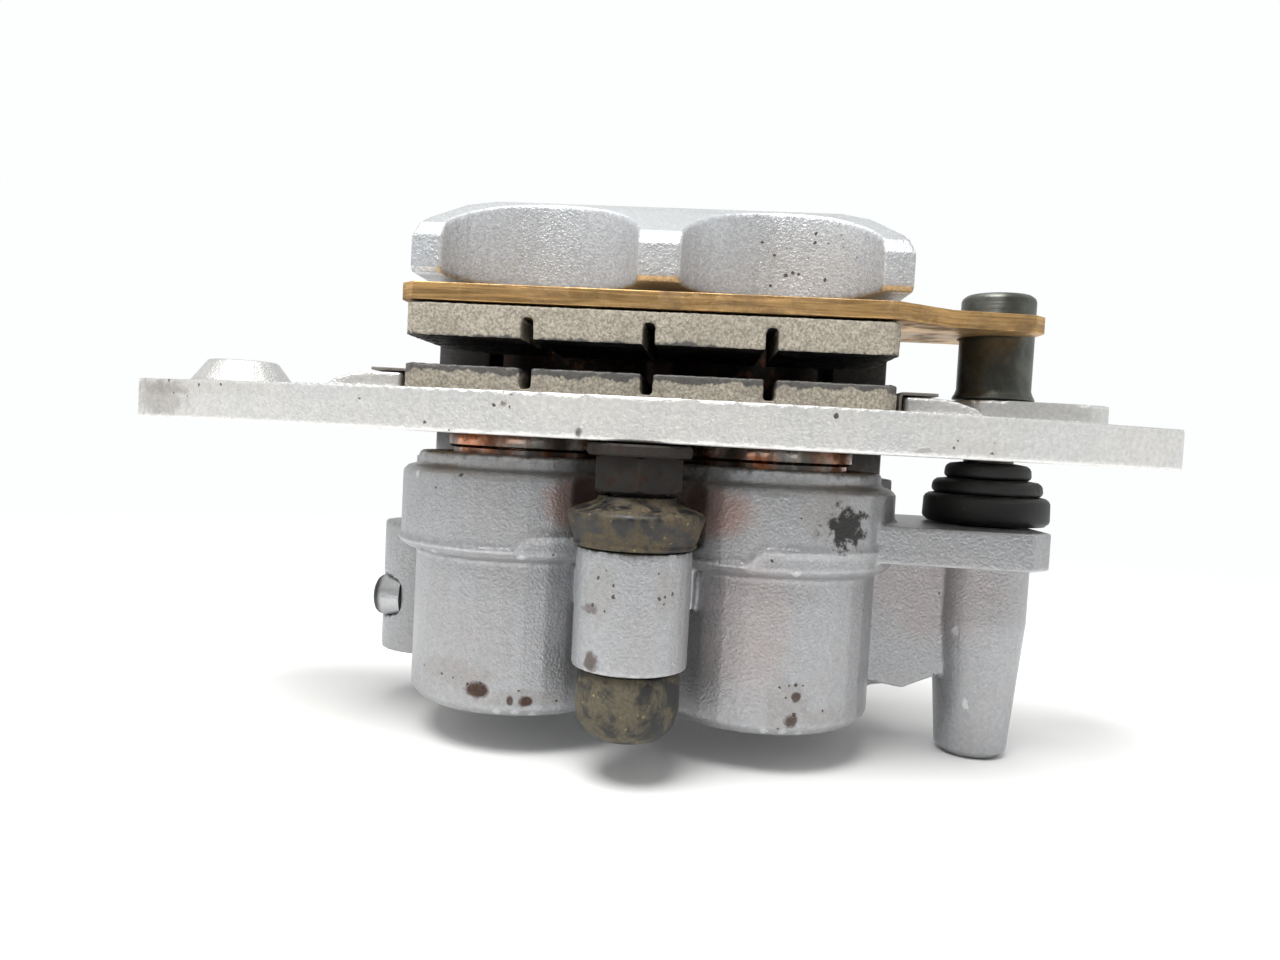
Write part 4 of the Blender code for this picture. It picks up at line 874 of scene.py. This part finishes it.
# ---- Pistons and seals ----------------------------------------------------------------------
def piston_profile(piston):
    """From the closed end up the outside, over the mouth and down inside the cup."""
    lowest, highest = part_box(piston)
    radius = (highest.x - lowest.x) / 2
    base, top = lowest.z, highest.z
    return [
        (radius * 0.3, base), (radius - 1.2 * MM, base), (radius - 0.35 * MM, base + 0.3 * MM),
        (radius, base + 1.1 * MM), (radius, top - 5.2 * MM), (radius - 0.25 * MM, top - 4.9 * MM),
        (radius - 0.8 * MM, top - 4.7 * MM), (radius - 0.8 * MM, top - 3.4 * MM),
        (radius - 0.25 * MM, top - 3.2 * MM), (radius, top - 2.9 * MM), (radius, top - 0.5 * MM),
        (radius - 0.15 * MM, top - 0.15 * MM), (radius - 0.5 * MM, top),
        (radius - 2.2 * MM, top), (radius - 2.6 * MM, top - 0.4 * MM), (radius - 2.6 * MM, top - 22 * MM),
        (radius - 4.2 * MM, top - 24 * MM), (radius * 0.3, top - 24 * MM),
    ]


class CALIPER_OT_pistons(Step, bpy.types.Operator):
    """Both cup pistons, and the seals in their grooves"""

    bl_idname = "caliper.pistons"
    bl_label = "Pistons and seals"

    def execute(self, context):
        chrome = piston_finish()
        for side, bore in zip(("left", "right"), BORES):
            node = f"piston_{side}"
            piston = lathe(f"cup_piston_{side}", piston_profile(node), (bore.x, bore.y, 0))
            finish_piece(piston, node, chrome, "chrome_piston", node)
        soft = rubber("seal rubber", (0.10, 0.09, 0.08), 0.2)
        for side in ("left", "right"):
            for seal in ("piston_seal", "dust_seal"):
                dress(f"{seal}_{side}", soft)
        return {"FINISHED"}


def dress(node, material):
    """A CAD node that keeps its shape takes a better finish."""
    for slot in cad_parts[node].material_slots:
        slot.material = material


# ---- Pads -----------------------------------------------------------------------------------
def friction_piece(node, name):
    """A sintered block whose corners and slot edges have crumbled."""
    block_piece = copy_of(node, name)
    apply_modifier(block_piece, "REMESH", mode="VOXEL", voxel_size=0.3 * MM)
    apply_modifier(block_piece, "SMOOTH", factor=0.5, iterations=2)
    crumble = bpy.data.textures.new(f"{name} crumble", "CLOUDS")
    crumble.noise_scale = 0.9 * MM
    crumble.noise_depth = 4
    apply_modifier(
        block_piece, "DISPLACE", texture=crumble, strength=0.28 * MM, mid_level=0.62,
        texture_coords="LOCAL",
    )
    apply_modifier(block_piece, "DECIMATE", ratio=0.6)
    return block_piece


class CALIPER_OT_pads(Step, bpy.types.Operator):
    """Backing plates, friction blocks and the shim"""

    bl_idname = "caliper.pads"
    bl_label = "Brake pads"

    def execute(self, context):
        plating = plated_edge()
        sintered = friction_finish()
        for side in ("inner", "outer"):
            node = f"{side}_pad_backing"
            backing = copy_of(node, f"{side}_backing_plate")
            soften(backing, 0.28 * MM, 3)
            finish_piece(backing, f"{side}_pad", plating, "plated_backing", node)
            node = f"{side}_pad_friction"
            block_piece = friction_piece(node, f"{side}_friction_block")
            finish_piece(block_piece, f"{side}_pad", sintered, "friction_material", node, angle=50)
        dress("inner_pad_shim", steel("shim steel", (0.42, 0.40, 0.37), 0.25, 0.32))
        return {"FINISHED"}


# ---- Centre pin, its boot and its bulb -------------------------------------------------------
SEAT_GAP = 0.3 * MM
ROD_R = 4.0 * MM
ROD_CENTRE_R = 1.5 * MM
ROD_CHAMFER = (0.8 * MM, 0.9 * MM)
BOOT_BORE_R = 4.3 * MM
BOOT_SLEEVE_R = 6.3 * MM
WASHER_T = 1.7 * MM
WASHER_R = 7.6 * MM
HEX_H = 5.0 * MM
HEX_ACROSS = 12.2 * MM
END_POST_R = 5.9 * MM
BRACKET_T = 6.3 * MM
POST_PAD_H = 3.4 * MM


def rod_foot(lowest_z):
    """The closed lower end of a slide pin."""
    inset, rise = ROD_CHAMFER
    return [(ROD_CENTRE_R, lowest_z), (ROD_R - inset, lowest_z), (ROD_R, lowest_z + rise)]


def hexagon(name, across, lowest, highest, at, axis="Z", tilt=0.0):
    """A hexagon head with its corners turned down."""
    radius = across / math.sqrt(3)
    bpy.ops.mesh.primitive_cylinder_add(vertices=6, radius=radius, depth=highest - lowest)
    head = bpy.context.active_object
    head.name = name
    place(head, (0, 0, (highest + lowest) / 2), (0, 0, tilt))
    turned_down = lathe(
        f"{name} corners",
        [
            (radius * 0.5, lowest - 1 * MM), (radius * 0.90, lowest - 0.01 * MM),
            (radius * 1.06, lowest + 0.6 * MM), (radius * 1.06, highest - 0.6 * MM),
            (radius * 0.90, highest + 0.01 * MM), (radius * 0.5, highest + 1 * MM),
        ],
        (0, 0, 0),
    )
    apply_modifier(head, "BOOLEAN", operation="INTERSECT", object=turned_down, solver="EXACT")
    bpy.data.objects.remove(turned_down, do_unlink=True)
    soften(head, 0.15 * MM, 2)
    return place(head, at, TURNS[axis])


class CALIPER_OT_centre_pin(Step, bpy.types.Operator):
    """Centre slide pin with its hexagon, bellows and closed bulb"""

    bl_idname = "caliper.centre_pin"
    bl_label = "Centre pin and boot"

    def execute(self, context):
        at = (CENTRE_PIN.x, CENTRE_PIN.y, 0)
        lowest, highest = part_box("centre_slide_pin")
        washer_top = BRACKET_LOW.z - SEAT_GAP
        washer_low = washer_top - WASHER_T
        hex_low = washer_low - HEX_H
        profile = rod_foot(lowest.z) + [
            (ROD_R, washer_low), (7.3 * MM, washer_low), (WASHER_R, washer_low + 0.3 * MM),
            (WASHER_R, washer_top - 0.3 * MM), (7.3 * MM, washer_top), (ROD_R, washer_top),
            (ROD_R, highest.z - 0.6 * MM), (ROD_R - 0.6 * MM, highest.z), (ROD_CENTRE_R, highest.z),
        ]
        shank = lathe("centre pin shank", profile, at)
        hex_top = washer_low + 0.1 * MM
        head = hexagon("centre pin head", HEX_ACROSS, hex_low, hex_top, at, tilt=math.radians(5))
        pin = join("centre_pin", shank, head)
        rusty = steel("rusty hexagon", (0.022, 0.018, 0.015), 0.3, 0.68, metallic=0.3, rust_depth=0.2)
        finish_piece(pin, "bracket", rusty, "rusty_steel", "centre_slide_pin")

        bore, sleeve = BOOT_BORE_R, BOOT_SLEEVE_R
        rim = BOSS_TOP + SEAT_GAP
        mouth = high("centre_pin_boot").z
        bellows = [
            (bore, BOSS_TOP - 6 * MM), (sleeve, BOSS_TOP - 6 * MM), (sleeve, rim), (8.6 * MM, rim),
            (8.95 * MM, rim + 0.35 * MM), (8.8 * MM, rim + 0.8 * MM), (9.15 * MM, rim + 1.6 * MM),
            (9.75 * MM, rim + 3.6 * MM), (9.95 * MM, rim + 4.3 * MM), (9.9 * MM, rim + 4.75 * MM),
            (9.55 * MM, rim + 5.1 * MM), (8.9 * MM, rim + 5.35 * MM), (6.9 * MM, rim + 6.0 * MM),
            (6.1 * MM, rim + 6.35 * MM), (5.75 * MM, rim + 6.7 * MM), (5.7 * MM, mouth - 0.2 * MM),
            (5.5 * MM, mouth), (bore, mouth),
        ]
        boot = lathe("centre_boot_bellows", bellows, at, tube=True)
        dusty = rubber("dusty rubber", (0.105, 0.08, 0.045), 0.5)
        finish_blend(boot, dusty, "centre_pin_boot")

        base = low("centre_pin_boot").z + 0.7 * MM
        throat = BOSS_LOW - SEAT_GAP
        bulb_profile = [
            (bore, BOSS_LOW + 6 * MM), (sleeve, BOSS_LOW + 6 * MM), (sleeve, throat),
            (7.0 * MM, throat - 0.15 * MM), (7.35 * MM, throat - 0.55 * MM), (7.5 * MM, throat - 1.5 * MM),
            (7.58 * MM, throat - 3.4 * MM), (7.55 * MM, throat - 5.6 * MM), (7.25 * MM, throat - 7.2 * MM),
            (6.55 * MM, base + 1.5 * MM), (5.6 * MM, base + 0.6 * MM), (4.5 * MM, base + 0.12 * MM),
            (3.6 * MM, base), (1.0 * MM, base),
        ]
        bulb = lathe("centre_boot_bulb", bulb_profile, at)
        pale = rubber("weathered rubber", (0.13, 0.112, 0.075), 0.52, 0.5)
        finish_piece(bulb, "caliper", pale, "black_rubber")
        return {"FINISHED"}


def finish_blend(piece, material, node):
    """A boot with smooth shading and its finish, baked in place and left in no body; its CAD node is
    hidden.
    """
    select_only(piece)
    bpy.ops.object.shade_smooth_by_angle(angle=math.radians(40))
    piece.data.materials.append(material)
    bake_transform(piece)
    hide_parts(node)


# ---- End pin and its boot -------------------------------------------------------------------
class CALIPER_OT_end_pin(Step, bpy.types.Operator):
    """End slide pin with its post, and the stepped bellows under the bracket"""

    bl_idname = "caliper.end_pin"
    bl_label = "End pin and boot"

    def execute(self, context):
        at = (END_PIN.x, END_PIN.y, 0)
        lowest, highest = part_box("end_slide_pin")
        post = END_POST_R
        seat = min(BRACKET_HIGH.z, BRACKET_LOW.z + BRACKET_T + POST_PAD_H) + SEAT_GAP
        profile = rod_foot(lowest.z) + [
            (ROD_R, BRACKET_LOW.z + 0.2 * MM), (4.8 * MM, BRACKET_LOW.z + 0.6 * MM), (4.8 * MM, seat),
            (6.5 * MM, seat), (6.5 * MM, seat + 0.25 * MM), (6.15 * MM, seat + 0.9 * MM),
            (post, seat + 1.6 * MM), (post, highest.z - 1.0 * MM), (post - 0.2 * MM, highest.z - 0.5 * MM),
            (post - 0.75 * MM, highest.z - 0.06 * MM), (post - 1.2 * MM, highest.z),
            (1.7 * MM, highest.z), (1.3 * MM, highest.z - 0.5 * MM), (0.4 * MM, highest.z - 1.0 * MM),
        ]
        pin = lathe("end_pin", profile, at)
        dark = steel("oxidised post", (0.15, 0.155, 0.135), 0.08, 0.38, brushed=True, rust_depth=0.6)
        finish_piece(pin, "bracket", dark, "dark_steel", "end_slide_pin")

        foot, mouth = (corner.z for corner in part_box("end_pin_boot"))
        rise = mouth - foot
        outline = [(BOOT_BORE_R, 0.0), (9.4 * MM, 0.0)]
        for radius, start, end in ((10.1, 0.02, 0.47), (8.8, 0.47, 0.72), (6.9, 0.72, 0.985)):
            outline += [
                ((radius - 0.55) * MM, start * rise),
                ((radius - 0.15) * MM, (start + 0.03) * rise),
                (radius * MM, (start + 0.07) * rise),
                ((radius - 0.10) * MM, (end - 0.10) * rise),
                ((radius - 0.35) * MM, (end - 0.055) * rise),
                ((radius - 0.85) * MM, (end - 0.02) * rise),
            ]
        outline += [(BOOT_BORE_R, 0.99 * rise)]
        outline = [(radius, foot + height) for radius, height in outline]
        boot = lathe("end_boot", outline, at, tube=True)
        black = rubber("plain black rubber", (0.03, 0.028, 0.025), 0.2, 0.5)
        finish_blend(boot, black, "end_pin_boot")
        return {"FINISHED"}


# ---- Pad hardware ---------------------------------------------------------------------------
class CALIPER_OT_pad_hardware(Step, bpy.types.Operator):
    """Retainer clips, pad spring, pad pin and its plug"""

    bl_idname = "caliper.pad_hardware"
    bl_label = "Pad hardware"

    def execute(self, context):
        spring = steel("spring steel", (0.40, 0.38, 0.35), 0.3, 0.30)
        # Painted shade: the leaf spring lies in the dark slit behind the pads, so it is painted almost
        # black.
        shaded_spring = steel("spring painted dark as shade", (0.018, 0.016, 0.014), 0.32, 0.65, metallic=0.3)
        for node, name, body, material in (
            ("pad_retainer_left", "retainer_clip_left", "bracket", spring),
            ("pad_retainer_right", "retainer_clip_right", "bracket", spring),
            ("pad_spring", "leaf_spring", "caliper", shaded_spring),
        ):
            clip = copy_of(node, name)
            soften(clip, 0.1 * MM, 2, 50)
            finish_piece(clip, body, material, "spring_steel", node)
        dark = steel("pin steel", (0.13, 0.12, 0.11), 0.35, 0.4)
        for node, name in (("pad_pin", "key_pin"), ("pad_pin_plug", "slotted_plug")):
            piece = copy_of(node, name)
            soften(piece, 0.15 * MM, 2, 40)
            finish_piece(piece, "caliper", dark, "dark_steel", node)
        return {"FINISHED"}


# ---- Hydraulic fittings ---------------------------------------------------------------------
class CALIPER_OT_fittings(Step, bpy.types.Operator):
    """Bleed screw, its cap and the domed passage plug"""

    bl_idname = "caliper.fittings"
    bl_label = "Hydraulic fittings"

    def execute(self, context):
        start, end = (corner.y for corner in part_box("bleed_screw"))
        cap_start, cap_end = (corner.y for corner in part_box("bleed_cap"))
        at = (BLEED.x, 0, BLEED.z)
        hex_top = cap_start - 0.3 * MM
        hex_low = hex_top - 4.0 * MM
        thread, bar = 3.4 * MM, 2.6 * MM
        profile = [(0.9 * MM, start), (1.5 * MM, start), (thread, start + 2.6 * MM)]
        turns = 6
        pitch = (hex_low - start - 4.0 * MM) / turns
        for turn in range(turns):
            z = start + 3.0 * MM + turn * pitch
            profile += [(thread - 0.35 * MM, z + 0.25 * pitch), (thread, z + 0.75 * pitch)]
        profile += [
            (thread - 0.5 * MM, hex_low), (bar * 1.15, hex_top), (bar * 0.72, hex_top + 1.4 * MM),
            (bar * 0.72, end - 3.0 * MM), (bar, end - 2.2 * MM), (bar, end - 1.6 * MM),
            (bar * 0.6, end), (0.9 * MM, end),
        ]
        shank = lathe("bleed shank", profile, at, "Y", 48)
        head = hexagon("bleed head", 8.0 * MM, hex_low, hex_top, at, "Y")
        screw = join("bleeder", shank, head)
        zinc = steel("dull zinc", (0.34, 0.31, 0.24), 0.35, 0.4)
        finish_piece(screw, "bleed_screw", zinc, "rusty_steel", "bleed_screw")

        inner, outer = 3.3 * MM, 4.4 * MM
        profile = [
            (inner, cap_start), (outer - 0.2 * MM, cap_start), (outer, cap_start + 0.3 * MM),
            (outer, cap_start + 1.4 * MM), (outer - 0.5 * MM, cap_start + 2.0 * MM),
            (outer - 0.75 * MM, cap_start + 3.0 * MM), (outer - 0.5 * MM, cap_end - 2.4 * MM),
            (outer - 0.45 * MM, cap_end - 1.5 * MM), (outer - 0.9 * MM, cap_end - 0.6 * MM),
            (outer * 0.5, cap_end - 0.05 * MM), (1.0 * MM, cap_end),
        ]
        cap = lathe("bleed_dust_cap", profile, at, "Y", 64)
        soft = rubber("cap rubber", (0.12, 0.105, 0.08), 0.4)
        finish_piece(cap, "bleed_screw", soft, "black_rubber", "bleed_cap")

        lowest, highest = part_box("passage_plug")
        plug_at = middle("passage_plug")
        radius = (highest.y - lowest.y) / 2
        dome = -lowest.x
        profile = [
            (1.0 * MM, -highest.x), (radius, -highest.x), (radius, dome - 1.5 * MM),
            (radius * 0.97, dome - 1.1 * MM), (radius * 0.86, dome - 0.6 * MM),
            (radius * 0.66, dome - 0.25 * MM), (radius * 0.35, dome - 0.05 * MM), (0.4 * MM, dome),
        ]
        plug = lathe("dome_plug", profile, (0, plug_at.y, plug_at.z), "-X", 64)
        dark_spots = [((lowest.x, plug_at.y, plug_at.z), mm(1.9, 6, 6), 0.3, 1.0, True)]
        base = tuple(colours().casting)
        coat = silver_coat("coated plug", base, base, (), dark_spots)
        finish_piece(plug, "caliper", coat, "dark_steel", "passage_plug")
        return {"FINISHED"}


# ---- Stage ----------------------------------------------------------------------------------
def add_light(name, at, size, power, aim, colour=(1, 1, 1)):
    bpy.ops.object.light_add(type="AREA", location=at)
    light = bpy.context.active_object
    light.name = name
    light.data.shape = "DISK"
    light.data.size = size
    light.data.energy = power
    light.data.color = colour
    light.rotation_euler = (Vector(aim) - Vector(at)).to_track_quat("-Z", "Y").to_euler()


class CALIPER_OT_stage(Step, bpy.types.Operator):
    """White paper floor, soft light and the camera"""

    bl_idname = "caliper.stage"
    bl_label = "Stage"

    def execute(self, context):
        scene = context.scene
        bpy.ops.mesh.primitive_plane_add(size=2.0, location=(0, 0, FLOOR_Z - 0.05 * MM))
        floor = bpy.context.active_object
        floor.name = "paper_floor"
        paper, sheet, sockets, at = new_finish("white paper", 0.0, 0.9)
        clouds = sheet.noise(at, 14.0, 3.0)
        colour = sheet.mix(sheet.ramp(clouds, 0.3, 0.7), (0.87, 0.865, 0.85), (0.91, 0.91, 0.905))
        crumbs = sheet.flecks(at, 9 * MM, 0.22, 0.06)
        near = sheet.ramp(sheet.noise(at, 30.0, 2.0), 0.5, 0.6)
        colour = sheet.mix(sheet.times(sheet.times(crumbs, near), 0.35), colour, (0.45, 0.38, 0.28))
        sheet.feed(sockets["Base Color"], colour)
        sheet.feed(sockets["Alpha"], sheet.ramp(sheet.vector("LENGTH", at), 0.13, 0.42, 1.0, 0.0))
        floor.data.materials.append(paper)

        world = bpy.data.worlds.new("white room")
        scene.world = world
        world.use_nodes = True
        sheet = NodeSheet(world.node_tree)
        background = world.node_tree.nodes["Background"]
        direction = sheet.axes(sheet.add("ShaderNodeTexCoord").outputs["Generated"])
        room = sheet.ramp(direction["Y"], -0.95, -0.2, 0.24, 0.82)
        seen = sheet.add("ShaderNodeLightPath").outputs["Is Camera Ray"]
        sheet.feed(background.inputs["Strength"], sheet.most(seen, room))
        background.inputs["Color"].default_value = (0.985, 1.0, 1.0, 1.0)

        centre = (CAD_BOX[0] + CAD_BOX[1]) / 2
        add_light("overhead", (-0.05, 0.10, 0.70), 0.45, 1.3, centre, (1.0, 0.995, 0.985))
        add_light("front top", (-0.10, -0.26, 0.60), 0.36, 4.2, centre, (1.0, 0.998, 0.99))

        modelling_zero = Vector((CENTRE_PIN.x, BORE_Y, COLLAR_TOP - 39.8 * MM))
        camera = bpy.data.objects.new("camera", bpy.data.cameras.new("camera"))
        scene.collection.objects.link(camera)
        camera.location = modelling_zero + Vector((9.19, -155.18, 43.16)) * MM
        yaw, pitch, roll = (math.radians(a) for a in (3.835, -2.460, 3.007))
        aim = Euler((HALF_TURN / 2 + pitch, 0, yaw), "XYZ").to_matrix()
        camera.rotation_euler = (aim @ Matrix.Rotation(roll, 3, "Z")).to_euler()
        camera.data.sensor_width = 36.0
        camera.data.lens = 26.163
        camera.data.clip_start = 0.005
        camera.data.clip_end = 20.0
        scene.camera = camera
        scene.view_settings.view_transform = "Standard"
        return {"FINISHED"}


# ---- Panel and registration -----------------------------------------------------------------
STEPS = (
    CALIPER_OT_cast_body,
    CALIPER_OT_bracket,
    CALIPER_OT_pistons,
    CALIPER_OT_pads,
    CALIPER_OT_centre_pin,
    CALIPER_OT_end_pin,
    CALIPER_OT_pad_hardware,
    CALIPER_OT_fittings,
    CALIPER_OT_stage,
)


class CALIPER_PT_panel(bpy.types.Panel):
    bl_label = "Sliding caliper"
    bl_idname = "CALIPER_PT_panel"
    bl_space_type = "VIEW_3D"
    bl_region_type = "UI"
    bl_category = "Caliper"

    def draw(self, context):
        for group in (context.scene.caliper_sizes, context.scene.caliper_colours):
            for name in group.bl_rna.properties.keys():
                if name not in ("rna_type", "name"):
                    self.layout.prop(group, name)
        for step in STEPS:
            self.layout.operator(step.bl_idname)


CLASSES = (CaliperSizes, CaliperColours, *STEPS, CALIPER_PT_panel)


def register():
    for cls in CLASSES:
        bpy.utils.register_class(cls)
    bpy.types.Scene.caliper_sizes = bpy.props.PointerProperty(type=CaliperSizes)
    bpy.types.Scene.caliper_colours = bpy.props.PointerProperty(type=CaliperColours)


def unregister():
    del bpy.types.Scene.caliper_sizes
    del bpy.types.Scene.caliper_colours
    for cls in reversed(CLASSES):
        bpy.utils.unregister_class(cls)


def main():
    register()
    make_groups()
    for step in STEPS:
        group, name = step.bl_idname.split(".")
        getattr(getattr(bpy.ops, group), name)()


if __name__ == "__main__":
    main()
